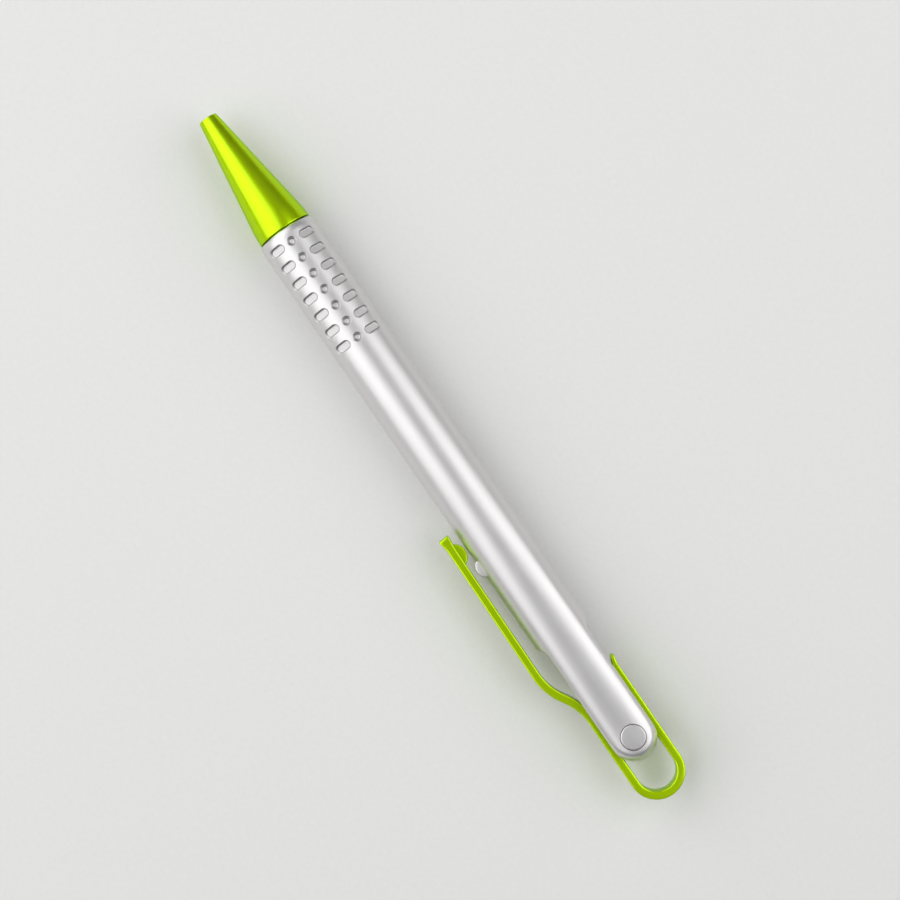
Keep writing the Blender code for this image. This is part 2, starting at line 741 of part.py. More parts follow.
def make_rotor():
    """The rotating cam: fins with slanting rear ends on a hub, and a peg that centres the refill."""
    peg = ROTOR_PEG_DIAMETER / 2
    hub_rear = ROTOR_REAR - FIN_OVERHANG
    profile = [
        (hub_rear, 0),
        (hub_rear, HUB_RADIUS),
        (ROTOR_FRONT, HUB_RADIUS),
        (ROTOR_FRONT, peg),
        (ROTOR_FRONT - ROTOR_PEG_LENGTH, peg),
        (ROTOR_FRONT - ROTOR_PEG_LENGTH, 0),
    ]
    rotor = turn(piece("rotor", polyline("rotor", profile, False), WHITE_PLASTIC), SMALL_STEPS)
    fin_front = ROTOR_REAR - ROTOR_FIN_LENGTH
    fins = keys(
        "rotor_fins",
        (HUB_RADIUS / 2, FIN_RADIUS),
        FIN_ANGLE,
        0,
        (fin_front, fin_front),
        (ROTOR_REAR, ROTOR_FIN_REAR),
    )
    combine(rotor, fins, "UNION")


def make_plunger():
    """The push rod: slanting fins in front, a long stem and a cross hole for the band's studs."""
    hub_front = PLUNGER_FRONT + CAM_SLANT + FIN_OVERHANG
    profile = [
        (PLUNGER_REAR, 0),
        (PLUNGER_REAR, HUB_RADIUS),
        (hub_front, HUB_RADIUS),
        (hub_front, 0),
    ]
    plunger = turn(piece("plunger", polyline("plunger", profile, False), WHITE_PLASTIC), SMALL_STEPS)
    fin_rear = PLUNGER_FRONT + PLUNGER_FIN_LENGTH
    fins = keys(
        "plunger_fins",
        (HUB_RADIUS / 2, FIN_RADIUS),
        FIN_ANGLE,
        0,
        (PLUNGER_FRONT, PLUNGER_FRONT + CAM_SLANT),
        (fin_rear, fin_rear),
    )
    combine(plunger, fins, "UNION")
    cross = rod("stud_hole", STUD_DIAMETER / 2 + SEAT_GAP, 2 * PLUNGER_DIAMETER, SMALL_STEPS)
    hole = tool("stud_hole", cross)
    hole.rotation_euler = (math.radians(90), 0, 0)
    hole.location = (STUD_X, 0, 0)
    combine(plunger, hole, "DIFFERENCE")


# Refill


def make_refill():
    ball = BALL_DIAMETER / 2
    ball_x = POINT_DEPTH + ball
    socket = ball + BALL_GAP
    collar_rear = COLLAR_FRONT + TIP_COLLAR_LENGTH
    channel = INK_CHANNEL_DIAMETER / 2
    spigot = TUBE_BORE_RADIUS - INK_GAP
    spigot_rear = collar_rear + TIP_SPIGOT_LENGTH
    mouth_angle = math.acos((ball_x - TIP_LIP) / socket)
    floor_angle = math.pi - math.asin(channel / socket)
    cup = []
    for k in range(CUP_STEPS + 1):
        angle = mouth_angle + (floor_angle - mouth_angle) * k / CUP_STEPS
        cup.append((ball_x - socket * math.cos(angle), socket * math.sin(angle)))
    profile = [
        *reversed(cup),
        (TIP_LIP, TIP_LIP_DIAMETER / 2),
        (TIP_LIP + TIP_CONE_LENGTH, TIP_DIAMETER / 2),
        (COLLAR_FRONT, TIP_DIAMETER / 2),
        (COLLAR_FRONT, TUBE_RADIUS),
        (collar_rear, TUBE_RADIUS),
        (collar_rear, spigot),
        (spigot_rear, spigot),
        (spigot_rear, channel),
    ]
    profile.reverse()
    turn(piece("writing_tip", polyline("writing_tip", profile, True), BRASS), SMALL_STEPS)

    bead = mesh_from(
        "writing_ball",
        lambda shape: bmesh.ops.create_uvsphere(
            shape, u_segments=BALL_SIDES, v_segments=BALL_RINGS, radius=ball
        ),
    )
    bead.shade_smooth()
    piece("writing_ball", bead, CARBIDE).location = (ball_x, 0, 0)

    tube = turn(
        piece(
            "refill_tube",
            polyline(
                "refill_tube",
                [
                    (TUBE_REAR, TUBE_BORE_RADIUS),
                    (TUBE_REAR, TUBE_RADIUS),
                    (TUBE_FRONT, TUBE_RADIUS),
                    (TUBE_FRONT, TUBE_BORE_RADIUS),
                ],
                True,
            ),
            CLEAR_PLASTIC,
        ),
        SMALL_STEPS,
    )

    def wings(shape):
        root = TUBE_RADIUS - TUBE_WALL / 2
        for side in (-1, 1):
            size = Matrix.Diagonal((WING_LENGTH, WING_WIDTH, SPRING_REACH - root, 1))
            place = Matrix.Translation((WING_FRONT + WING_LENGTH / 2, 0, side * (SPRING_REACH + root) / 2))
            bmesh.ops.create_cube(shape, size=1, matrix=place @ size)

    combine(tube, tool("spring_wings", mesh_from("spring_wings", wings)), "UNION")

    ink_front = spigot_rear + INK_GAP
    ink = TUBE_BORE_RADIUS - INK_GAP
    column = [
        (ink_front + INK_LENGTH, 0),
        (ink_front + INK_LENGTH, ink),
        (ink_front, ink),
        (ink_front, 0),
    ]
    turn(piece("ink_column", polyline("ink_column", column, False), INK_BLUE), SMALL_STEPS)


def make_spring():
    """A coil with a close turn at each end, as one wire."""
    start = SPRING_FRONT + SPRING_WIRE / 2
    active = (SPRING_LENGTH - SPRING_WIRE - 2 * SPRING_END_PITCH) / (SPRING_TURNS - 2)
    points = []
    for k in range(SPRING_TURNS * SPRING_POINTS + 1):
        turns = k / SPRING_POINTS
        first = min(turns, 1) * SPRING_END_PITCH
        last = max(turns - SPRING_TURNS + 1, 0) * SPRING_END_PITCH
        middle = min(max(turns - 1, 0), SPRING_TURNS - 2) * active
        angle = math.tau * turns
        x = start + first + middle + last
        points.append(Vector((x, SPRING_RADIUS * math.cos(angle), SPRING_RADIUS * math.sin(angle))))

    curve = bpy.data.curves.new("return_spring", "CURVE")
    curve.dimensions = "3D"
    curve.bevel_depth = SPRING_WIRE / 2
    curve.bevel_resolution = 1
    curve.use_fill_caps = True
    wire = curve.splines.new("POLY")
    wire.points.add(len(points) - 1)
    for point, place in zip(wire.points, points):
        point.co = (*place, 1)
    piece("return_spring", curve, STEEL)

    apart = SPRING_POINTS // 2
    least = min(
        (a - b).length for i, a in enumerate(points) for b in points[i + apart:]
    )
    print(f"return_spring: least gap to itself {(least - SPRING_WIRE) / MM:.2f} mm")


make_barrel()
make_end_disc()
make_nose()
make_band()
make_sleeve()
make_rotor()
make_plunger()
make_refill()
make_spring()
bpy.context.view_layer.update()
print(f"pen: {PEN_LENGTH / MM:.1f} mm long")
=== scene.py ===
# %% [markdown]
# # A ballpoint pen in silver and lime
# The construction model of this pen is already there: twelve pieces, with their sizes and their joints.
# This lesson gives them their looks. Each piece is drawn again as a finer surface in the very same place,
# gets a finish made of shader nodes, and is then lit and photographed from straight above.

# %% Load the construction model
import json
import math
from functools import partialmethod

import bmesh
import bpy
import numpy as np
from mathutils import Matrix, Vector


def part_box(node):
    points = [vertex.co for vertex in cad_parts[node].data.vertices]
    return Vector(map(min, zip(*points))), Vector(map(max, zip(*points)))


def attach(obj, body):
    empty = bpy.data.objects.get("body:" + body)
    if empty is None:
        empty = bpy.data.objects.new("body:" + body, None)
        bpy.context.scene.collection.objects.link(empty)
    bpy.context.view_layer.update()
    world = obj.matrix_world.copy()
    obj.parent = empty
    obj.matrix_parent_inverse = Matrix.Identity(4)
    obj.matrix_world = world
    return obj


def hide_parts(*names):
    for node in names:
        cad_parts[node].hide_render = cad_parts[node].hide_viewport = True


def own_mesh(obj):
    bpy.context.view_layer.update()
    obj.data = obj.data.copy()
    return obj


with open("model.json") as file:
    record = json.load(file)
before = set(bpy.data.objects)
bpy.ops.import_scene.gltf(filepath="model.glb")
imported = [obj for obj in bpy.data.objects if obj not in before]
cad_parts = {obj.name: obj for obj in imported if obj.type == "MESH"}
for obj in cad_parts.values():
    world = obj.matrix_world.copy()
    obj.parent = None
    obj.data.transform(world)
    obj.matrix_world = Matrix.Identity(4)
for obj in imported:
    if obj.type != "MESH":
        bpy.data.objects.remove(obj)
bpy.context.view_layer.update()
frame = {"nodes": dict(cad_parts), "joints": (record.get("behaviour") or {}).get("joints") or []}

print("pieces to dress:", ", ".join(sorted(frame["nodes"])))

# %% [markdown]
# ## The pen's own axes
# A pen is turned and moulded round one line. Every piece is therefore drawn in the pen's own axes: x runs
# from the tip of the nose to the tail, y points away from the clip, and z points up. Only the object's
# location carries a piece to its place in the model. A texture's Object coordinates then count along the
# pen too.

# %% The pen's own axes
MM = 0.001
joints = {joint["name"]: joint for joint in frame["joints"]}
pen_origin = Vector((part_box("nose_cone")[0].x, *joints["nose_unscrew"]["pos_m"][1:]))


def along_pen(node):
    """Where a piece of the model starts and ends, counted from the tip of the nose."""
    low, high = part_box(node)
    return low.x - pen_origin.x, high.x - pen_origin.x


TRAVEL = joints["button_press"]["range_m"][1]
BARREL_RADIUS = pen_origin.z
BARREL_FRONT = along_pen("barrel")[0]
BARREL_LENGTH = 108.6 * MM
BARREL_REAR = BARREL_FRONT + BARREL_LENGTH
print(f"barrel: {BARREL_FRONT / MM:.1f} to {BARREL_REAR / MM:.1f} mm, radius {BARREL_RADIUS / MM:.2f}")

# %% [markdown]
# ## Skins over rings
# A Screw modifier can turn a profile, and a Bevel can round its edges. Here almost every piece is instead
# a skin over a row of closed rings, because a formula can then shape each ring, and the quads follow the
# form, which keeps the reflections of a satin surface calm. Rings that shrink to a point are welded into
# a pole.

# %% Skins over rings
WELD = 0.001 * MM


def weld(mesh):
    """Join the points that coincide, drop faces without area, and turn every face outward."""
    work = bmesh.new()
    work.from_mesh(mesh)
    bmesh.ops.remove_doubles(work, verts=work.verts, dist=WELD)
    bmesh.ops.dissolve_degenerate(work, edges=work.edges, dist=WELD)
    bmesh.ops.recalc_face_normals(work, faces=work.faces)
    if work.calc_volume(signed=True) < 0:
        bmesh.ops.reverse_faces(work, faces=work.faces)
    work.to_mesh(mesh)
    work.free()
    return mesh


def skin(name, rings, loop=False):
    """A closed mesh over rings of points. With loop, the last ring joins the first, as on a tube."""
    rings = np.asarray(rings, float)
    rows, count = rings.shape[:2]
    index = np.arange(rows * count).reshape(rows, count)
    lower = index if loop else index[:-1]
    upper = np.roll(index, -1, axis=0) if loop else index[1:]
    quads = np.stack([lower, np.roll(lower, -1, axis=1), np.roll(upper, -1, axis=1), upper], axis=-1)
    faces = quads.reshape(-1, 4).tolist()
    if not loop:
        faces += [index[0, ::-1].tolist(), index[-1].tolist()]
    mesh = bpy.data.meshes.new(name)
    mesh.from_pydata(rings.reshape(-1, 3).tolist(), [], faces)
    return weld(mesh)


print("skins are welded at", WELD / MM, "mm")

# %% [markdown]
# ## Softened corners
# No moulded or turned edge is truly sharp: a small round on it catches the light as a thin bright line.
# An outline's corner is therefore written as a place and the reach of its round, and a quadratic curve
# runs through. The same outlines serve for turned profiles, for strips and for flat blocks.

# %% Softened corners
CORNER_STEPS = 5


def soften(corners, closed=True):
    """An outline through (first, second, reach) corners, with a round of that reach at each."""
    points = []
    for i, (a, b, reach) in enumerate(corners):
        here = np.array((a, b))
        inner = closed or 0 < i < len(corners) - 1
        if not reach or not inner:
            points.append(here)
            continue
        back = np.array(corners[i - 1][:2]) - here
        ahead = np.array(corners[(i + 1) % len(corners)][:2]) - here
        start = here + back * min(reach / np.linalg.norm(back), 0.5)
        end = here + ahead * min(reach / np.linalg.norm(ahead), 0.5)
        for t in np.linspace(0, 1, CORNER_STEPS + 1):
            points.append((1 - t) ** 2 * start + 2 * t * (1 - t) * here + t * t * end)
    return np.array(points)


def full_turn(steps):
    return np.linspace(0, math.tau, steps, endpoint=False)


def turned(name, profile, steps, loop=False):
    """A profile of places and radii turned about the pen's axis. A radius may vary with the angle."""
    turn = full_turn(steps)
    rings = []
    for place, radius in profile:
        ring = [np.full(steps, place), radius * np.cos(turn), radius * np.sin(turn)]
        rings.append(np.column_stack(ring))
    return skin(name, rings, loop)


def solid(name, corners, steps):
    """A full body turned from softened corners, closed on the axis at both ends."""
    first = (corners[0][0], 0, 0)
    last = (corners[-1][0], 0, 0)
    return turned(name, soften([first, *corners, last], closed=False), steps)


def ease(t):
    """0 before 0, 1 after 1, and a smooth step between."""
    t = np.clip(t, 0, 1)
    return t * t * (3 - 2 * t)


print("a corner's round has", CORNER_STEPS, "faces")

# %% [markdown]
# ## Blocks, cuts and unions
# A bump or a wing is a flat outline with some thickness and rounded edges, which is a stack of the same
# outline drawn a little smaller towards each face. Such blocks are then joined to a piece, or cut from
# it, with Blender's exact Boolean. It is applied at once, so that no helper object stays in the scene,
# and the slivers that a cut can leave are welded away.

# %% Blocks, cuts and unions
def unit(vectors):
    return vectors / np.linalg.norm(vectors, axis=-1, keepdims=True)


def shrunk(outline, distance):
    """The outline with every point moved inward along the middle of its two edges."""
    edge = unit(np.roll(outline, -1, axis=0) - outline)
    inward = np.stack([-edge[:, 1], edge[:, 0]], axis=1)
    middle = inward + np.roll(inward, 1, axis=0)
    return outline + distance * 2 * middle / (middle**2).sum(axis=1, keepdims=True)


def raised(outline, height):
    """A flat outline as points of space, at one height or at a height for each point."""
    return np.column_stack([outline, np.broadcast_to(height, len(outline))])


def block(name, outline, half, edge=0.0):
    """An outline in x and y, thickened to both sides of z = 0, with its edges rounded."""
    outline = np.asarray(outline, float)
    ahead = np.roll(outline, -1, axis=0)
    if (outline[:, 0] * ahead[:, 1] - outline[:, 1] * ahead[:, 0]).sum() < 0:
        outline = outline[::-1]
    turns = np.linspace(0, math.pi / 2, CORNER_STEPS if edge else 1)
    layers = [(half - edge + edge * math.sin(a), edge * (1 - math.cos(a))) for a in turns]
    layers = [(-height, inset) for height, inset in reversed(layers)] + layers
    return skin(name, [raised(shrunk(outline, inset), height) for height, inset in layers])


def turn_about(axis, degrees):
    return Matrix.Rotation(math.radians(degrees), 4, axis)


def moved(mesh, place, turn):
    """The mesh turned about its own origin and carried to a place on the pen."""
    mesh.transform(Matrix.Translation(place) @ turn)
    return mesh


def shown(name, data):
    """A new object of the scene, made of a mesh, a lamp or a camera."""
    made = bpy.data.objects.new(name, data)
    bpy.context.scene.collection.objects.link(made)
    return made


def carved(mesh, operation, *tools):
    """The mesh with each tool joined to it or cut from it."""
    work = shown("work", mesh)
    helpers = [shown("tool", tool) for tool in tools]
    for helper in helpers:
        step = work.modifiers.new("carve", "BOOLEAN")
        step.operation = operation
        step.solver = "EXACT"
        step.object = helper
    graph = bpy.context.evaluated_depsgraph_get()
    result = bpy.data.meshes.new_from_object(work.evaluated_get(graph), depsgraph=graph)
    for used in (work, *helpers):
        data = used.data
        bpy.data.objects.remove(used)
        bpy.data.meshes.remove(data)
    result.materials.clear()
    return weld(result)


print("blocks and cuts are ready")

# %% [markdown]
# ## Sums on shader sockets
# A shader's maths is easier to read as Python than as a web of Math nodes. A Wire holds one socket, and
# each operator on it adds the Math node that does the sum. The node method of a tree adds any other node,
# sets it up, then fills its sockets with numbers, colours or wires. A Paint is the tree of one material,
# and keeps it by name among the finishes.

# %% Sums on shader sockets
finishes = {}


class Wire:
    """A socket that takes part in Python sums."""

    def __init__(self, nodes, socket):
        self.nodes = nodes
        self.socket = socket

    def sum(self, operation, other, swapped=False):
        first, second = (other, self) if swapped else (self, other)
        return self.nodes.node("Math", {"operation": operation}, {0: first, 1: second})

    __add__ = __radd__ = partialmethod(sum, "ADD")
    __sub__ = partialmethod(sum, "SUBTRACT")
    __rsub__ = partialmethod(sum, "SUBTRACT", swapped=True)
    __mul__ = __rmul__ = partialmethod(sum, "MULTIPLY")
    __gt__ = partialmethod(sum, "GREATER_THAN")
    __lt__ = partialmethod(sum, "LESS_THAN")


class Nodes:
    """A tree of shader nodes: every node comes from node()."""

    def __init__(self, tree):
        self.tree = tree

    def fill(self, node, values):
        for key, value in values.items():
            if isinstance(value, Wire):
                self.tree.links.new(value.socket, node.inputs[key])
            else:
                node.inputs[key].default_value = value

    def node(self, kind, settings, values, output=0):
        made = self.tree.nodes.new("ShaderNode" + kind)
        for key, value in settings.items():
            setattr(made, key, value)
        self.fill(made, values)
        return Wire(self, made.outputs[output])


class Paint(Nodes):
    """One material, kept in finishes, whose Principled shader is filled by set()."""

    def __init__(self, name):
        finishes[name] = bpy.data.materials.new(name)
        finishes[name].use_nodes = True
        super().__init__(finishes[name].node_tree)
        self.shader = self.tree.nodes["Principled BSDF"]
        self.place = self.node("TexCoord", {}, {}, "Object")

    def set(self, **values):
        self.fill(self.shader, {key.replace("_", " "): value for key, value in values.items()})

    def mix(self, share, first, second):
        """A colour between two others."""
        colours = [c if isinstance(c, Wire) else (*c, 1) for c in (first, second)]
        return self.node("Mix", {"data_type": "RGBA"}, {0: share, 6: colours[0], 7: colours[1]}, 2)

    def stretched(self, amount):
        """The place on the pen, with each axis counted faster or slower."""
        return self.node("VectorMath", {"operation": "MULTIPLY"}, {0: self.place, 1: amount})

    def grain(self, size, detail=2.0, stretch=None):
        """Cloudy noise with features of about that size."""
        place = self.stretched(stretch) if stretch else self.place
        return self.node("TexNoise", {}, {"Vector": place, "Scale": 1 / size, "Detail": detail}, "Fac")

    def bump(self, height, depth, strength=1.0):
        """A normal for a relief of that depth."""
        values = {"Height": height, "Distance": depth, "Strength": strength}
        return self.node("Bump", {}, values, "Normal")


print("paints are mixed from nodes")

# %% [markdown]
# ## Satin silver lacquer
# The barrel is moulded plastic with a sprayed lacquer full of aluminium flakes. It mirrors the lamps like
# metal, but softly, so it is a rough metallic shader. Fine grain stands for the flakes, long faint
# streaks for the way the spray settled, a slow cloud for handling, and a few scattered specks for grains
# of dust caught in the lacquer. The walls of the grip's dimples carry painted shade: their base colour is
# darkened towards a dark grey, most of all on the walls that face the tail, so that they look shaded. A
# wall is told by how far its normal turns away from the direction straight out of the pen's axis.

# %% Satin silver lacquer
GRIP = (BARREL_FRONT + 1.3 * MM, BARREL_FRONT + 25 * MM)
# Painted shade for the dimples' walls: its dark grey, how much of it, and how it grows towards the tail.
PAINTED_SHADE_COLOUR = (0.16, 0.16, 0.17)
WALL_LEVEL = 0.95
PAINTED_SHADE_SHARE = 0.9
PAINTED_SHADE_EVEN = 0.55
PAINTED_SHADE_TAILWARD = 0.45
SPECK_SPACING = 1.7 * MM
SPECK_REACH = 0.055
SPECK_LOT = 0.82


def painted_dimple_shade(paint):
    """Painted shade in the dimples: 0 on the skin and the floors, up to 1 on steep walls facing the tail.
    """
    outward = paint.node("VectorMath", {"operation": "NORMALIZE"}, {0: paint.stretched((0, 1, 1))})
    normal = paint.node("TexCoord", {}, {}, "Normal")
    level = paint.node("VectorMath", {"operation": "DOT_PRODUCT"}, {0: outward, 1: normal}, "Value")
    to_tail = paint.node("SeparateXYZ", {}, {0: normal}, "X")
    along = paint.node("SeparateXYZ", {}, {0: paint.place}, "X")
    in_grip = (along > GRIP[0]) * (along < GRIP[1])
    return in_grip * (level < WALL_LEVEL) * (1 - level * level) * (PAINTED_SHADE_EVEN + PAINTED_SHADE_TAILWARD * to_tail)


def silver_lacquer(slot, dark, light):
    paint = Paint(slot)
    flake = paint.grain(0.11 * MM, detail=1)
    cloud = paint.grain(5 * MM, detail=3)
    streak = paint.grain(0.7 * MM, stretch=(0.03, 1, 1))
    cells = {"Vector": paint.place, "Scale": 1 / SPECK_SPACING}
    near = paint.node("TexVoronoi", {}, cells, "Distance")
    lot = paint.node("SeparateColor", {}, {0: paint.node("TexVoronoi", {}, cells, "Color")}, 0)
    speck = (near < SPECK_REACH) * (lot > SPECK_LOT)
    colour = paint.mix(0.45 * flake + 0.35 * streak + 0.2 * cloud, dark, light)
    # Painted shade: the dark grey mixed into the base colour on the dimples' walls.
    colour = paint.mix(PAINTED_SHADE_SHARE * painted_dimple_shade(paint), colour, PAINTED_SHADE_COLOUR)
    paint.set(
        Base_Color=paint.mix(0.5 * speck, colour, (0.95, 0.95, 0.95)),
        Metallic=0.92 - 0.4 * speck,
        Roughness=0.36 + 0.07 * cloud + 0.06 * flake,
        Normal=paint.bump(0.7 * flake + 0.3 * streak, 0.004 * MM),
    )


silver_lacquer("barrel_silver", dark=(0.63, 0.62, 0.62), light=(0.80, 0.79, 0.79))
silver_lacquer("disc_silver", dark=(0.60, 0.59, 0.59), light=(0.77, 0.76, 0.76))
print("silver lacquers:", ", ".join(finishes))

# %% [markdown]
# ## Setting a piece in its place
# Every finished mesh goes through the same gate. It is shaded smooth except at real creases, gets its
# finish, sits at the pen's origin, rides on the body that carries it, and says which pieces of the
# construction model it stands for. Those then stay for the physics alone.

# %% Setting a piece in its place
CREASE = math.radians(27)


def settle(name, mesh, body, slot, *nodes):
    mesh.shade_smooth()
    mesh.set_sharp_from_angle(angle=CREASE)
    mesh.materials.append(finishes[slot])
    made = shown(name, mesh)
    made.location = pen_origin
    bpy.context.view_layer.update()
    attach(made, body)
    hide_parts(*nodes)
    print(f"{name}: {len(mesh.polygons)} faces, on {body}")
    return made


# %% [markdown]
# ## The barrel's skin
# The barrel starts round behind the nose. Two crowned flats, flatter towards the tail, cut ever deeper
# into it from above and below, and near the tail two hollow shoulders narrow it to a tongue with a domed
# end. One formula holds all of this: the skin is the nearest of a circle, the flats, the flanks and the
# dome, and a smooth minimum rounds the edges between them.

# %% The barrel's skin
LIP_LENGTH = 1.2 * MM
LIP_DROP = 0.3 * MM
FLATTENING_LENGTH = 59 * MM
TONGUE_LENGTH = 25.9 * MM
TONGUE_WIDTH = 8.1 * MM
TONGUE_HEIGHT = 9.2 * MM
SHOULDER_LENGTH = 2.2 * MM
TAIL_DOME = np.array((6.4, 4.85, 6.6)) * MM
FLAT_CROWN = (5.5 * MM, 22 * MM)
FLAT_SOFT = (0.15 * MM, 0.7 * MM)
FLANK_SOFT = 0.25 * MM
TAIL_SOFT = 0.45 * MM
FLANK_FREE = 1.4
SHOULDER_EDGE = 1.08
DISC_PLACE = 4.9 * MM
DISC_DIAMETER = 4.4 * MM
TONGUE_FRONT = BARREL_REAR - TONGUE_LENGTH
LEAST = 1e-6


def nearest(a, b, soft):
    """The smaller of two distances, rounded off where they are about the same."""
    alike = np.maximum(soft - np.abs(a - b), 0) / soft
    return np.minimum(a, b) - alike**2 * soft / 4


def between(first, last, share):
    return first + (last - first) * share


def flattened(x):
    """How far the flats have come down: 0 where they leave the round barrel, 1 at the disc."""
    start = BARREL_REAR - FLATTENING_LENGTH
    level = BARREL_REAR - DISC_PLACE - DISC_DIAMETER
    return min((x - start) / (level - start), 1)


def flat_height(x):
    """Height of the flats' middle above and below the axis."""
    return BARREL_RADIUS + flattened(x) * (TONGUE_HEIGHT / 2 - BARREL_RADIUS)


def flank_width(x):
    """Distance of the flanks, which a hollow shoulder brings in to the tongue."""
    wide = BARREL_RADIUS * (FLANK_FREE if x < TONGUE_FRONT else SHOULDER_EDGE)
    into = min(max((x - TONGUE_FRONT) / SHOULDER_LENGTH, 0), 1)
    fall = math.sqrt(1 - (1 - into) ** 2)
    return wide + (TONGUE_WIDTH / 2 - wide) * fall


def barrel_radius(x, angle):
    """Distance of the skin from the axis, at a place and an angle that counts up from the side."""
    up = np.maximum(np.abs(np.sin(angle)), LEAST)
    out = np.maximum(np.abs(np.cos(angle)), LEAST)
    lip = LIP_DROP * max(1 - (x - BARREL_FRONT) / LIP_LENGTH, 0) ** 2
    crown = between(*FLAT_CROWN, flattened(x) ** 2)
    sunk = crown - flat_height(x)
    flat = np.sqrt(crown**2 - (sunk * out) ** 2) - sunk * up
    radius = nearest(BARREL_RADIUS - lip, flat, between(*FLAT_SOFT, ease(flattened(x))))
    radius = nearest(radius, flank_width(x) / out, FLANK_SOFT)
    length, width, height = TAIL_DOME
    into = (x - BARREL_REAR) / length + 1
    if into > 0:
        dome = math.sqrt(max(1 - into * into, 0)) / np.hypot(out / width, up / height)
        radius = nearest(radius, dome, TAIL_SOFT)
    return radius


tongue_height = 2 * flat_height(TONGUE_FRONT)
print(f"tongue from {TONGUE_FRONT / MM:.1f} mm, {tongue_height / MM:.2f} mm high at its start")

# %% [markdown]
# ## One quarter of a section
# The barrel mirrors about two planes, so a ring is one quarter drawn four times. A quarter runs from the
# top down to the side. In front of the channels it ends on the thin line where the two halves of the
# mould met. Along the tongue it turns in at the channel's rounded edge, and goes down the wall of the
# core between the channels.

# %% One quarter of a section
STRIP_WIDTH = 3.2 * MM
SLIDE_GAP = 0.3 * MM
LOOP_WIDTH = 6.94 * MM
CHANNEL_FRONT = TONGUE_FRONT + SHOULDER_LENGTH
CHANNEL_HALF = STRIP_WIDTH / 2 + SLIDE_GAP
CORE_HALF = LOOP_WIDTH / 2 - SLIDE_GAP
CHANNEL_EDGE = 0.22 * MM
CHANNEL_ROOT = 0.15 * MM
SEAM_HEIGHT = 0.045 * MM
SEAM_WIDTH = 0.12 * MM
CROWN_POINTS = 56
SIDE_POINTS = 2 * (CORNER_STEPS + 1) + 1
SIDE_CROWDING = 1.5
CHANNEL_SHARE = 0.8
HALVINGS = 40


def channel_top(x):
    """Half the channel's height, which shrinks with the rounded tail."""
    return min(CHANNEL_HALF, CHANNEL_SHARE * barrel_radius(x, math.pi / 2))


def edge_angle(x):
    """The angle at which the skin is as high as the channel's upper edge, found by halving."""
    low, high = 0.0, math.pi / 2
    for _ in range(HALVINGS):
        middle = (low + high) / 2
        if barrel_radius(x, middle) * math.sin(middle) < channel_top(x):
            low = middle
        else:
            high = middle
    return high


def core_width(x):
    """Half the width of the core, which ends in a half round."""
    into = max(x - (BARREL_REAR - CORE_HALF), 0)
    return math.sqrt(max(CORE_HALF**2 - into**2, 0))


def quarter(x):
    """Points (y, z) from the top to the side."""
    edge = edge_angle(x)
    start = edge + CHANNEL_EDGE / BARREL_RADIUS
    crown = np.linspace(math.pi / 2, start, CROWN_POINTS)
    side = start * (1 - np.arange(1, SIDE_POINTS + 1) / SIDE_POINTS) ** SIDE_CROWDING
    angle = np.concatenate([crown, side])
    radius = barrel_radius(x, angle)
    radius = radius + SEAM_HEIGHT * np.exp(-((angle * BARREL_RADIUS / SEAM_WIDTH) ** 2))
    points = np.column_stack([radius * np.cos(angle), radius * np.sin(angle)])
    if x > CHANNEL_FRONT:
        lip = barrel_radius(x, edge) * np.array((math.cos(edge), math.sin(edge)))
        core = core_width(x)
        if lip[0] > core + CHANNEL_ROOT:
            edges = [(*lip, CHANNEL_EDGE), (core, lip[1], CHANNEL_ROOT)]
            corners = [(*points[CROWN_POINTS - 1], 0), *edges, (core, 0, 0)]
            points[CROWN_POINTS:] = soften(corners, closed=False)[1:]
        else:
            points[:, 0] = nearest(points[:, 0], core, min(CHANNEL_ROOT, core))
    return points


print("a ring of the barrel has", 4 * (CROWN_POINTS + SIDE_POINTS - 1), "points")

# %% [markdown]
# ## The barrel as one closed form
# Rings stand close together at the lip, at the shoulders and on the tail, and far apart on the straight
# run. The skin starts at the end of the bore, comes forward inside, turns round the front edge and runs
# back outside, so the wall has its real thickness wherever one looks in.

# %% The barrel as one closed form
BORE_RADIUS = 3.9 * MM
BORE_END = BARREL_FRONT + 81 * MM
TONGUE_BORE = 2.3 * MM
PLUNGER_REAR = along_pen("plunger")[1]
SEAT_GAP = 0.3 * MM
FACE_EDGE = 0.1 * MM
LIP_SHARES = (0.03, 0.1, 0.2, 0.35, 0.55, 0.8, 1)
BODY_RINGS = 90
SHOULDER_TURNS = np.linspace(0.03, math.pi / 2, 12)
TONGUE_RINGS = 8
TAIL_TURNS = np.linspace(0.1, 1.56, 24)


def barrel_ring(x):
    """A whole ring at one place: the quarter, then its mirror images in turn."""
    points = quarter(x)
    right = np.concatenate([points, points[-2::-1] * (1, -1)])
    ring = np.concatenate([right, right[-2:0:-1] * (-1, 1)])
    return np.column_stack([np.full(len(ring), x), ring])


def bore_ring(x, radius):
    """A plain round ring whose points lie behind those of the skin."""
    ring = barrel_ring(BARREL_FRONT + LIP_LENGTH)
    return np.column_stack([np.full(len(ring), x), radius * unit(ring[:, 1:])])


def barrel_places():
    lip = BARREL_FRONT + LIP_LENGTH * np.array(LIP_SHARES)
    body = np.linspace(lip[-1], TONGUE_FRONT - FACE_EDGE, BODY_RINGS)[1:]
    shoulder = TONGUE_FRONT + SHOULDER_LENGTH * (1 - np.cos(SHOULDER_TURNS))
    tail_start = BARREL_REAR - TAIL_DOME[0]
    tongue = np.linspace(CHANNEL_FRONT + FACE_EDGE, tail_start, TONGUE_RINGS)
    tail = tail_start + TAIL_DOME[0] * np.sin(TAIL_TURNS)
    return np.concatenate([lip, body, shoulder, tongue, tail])


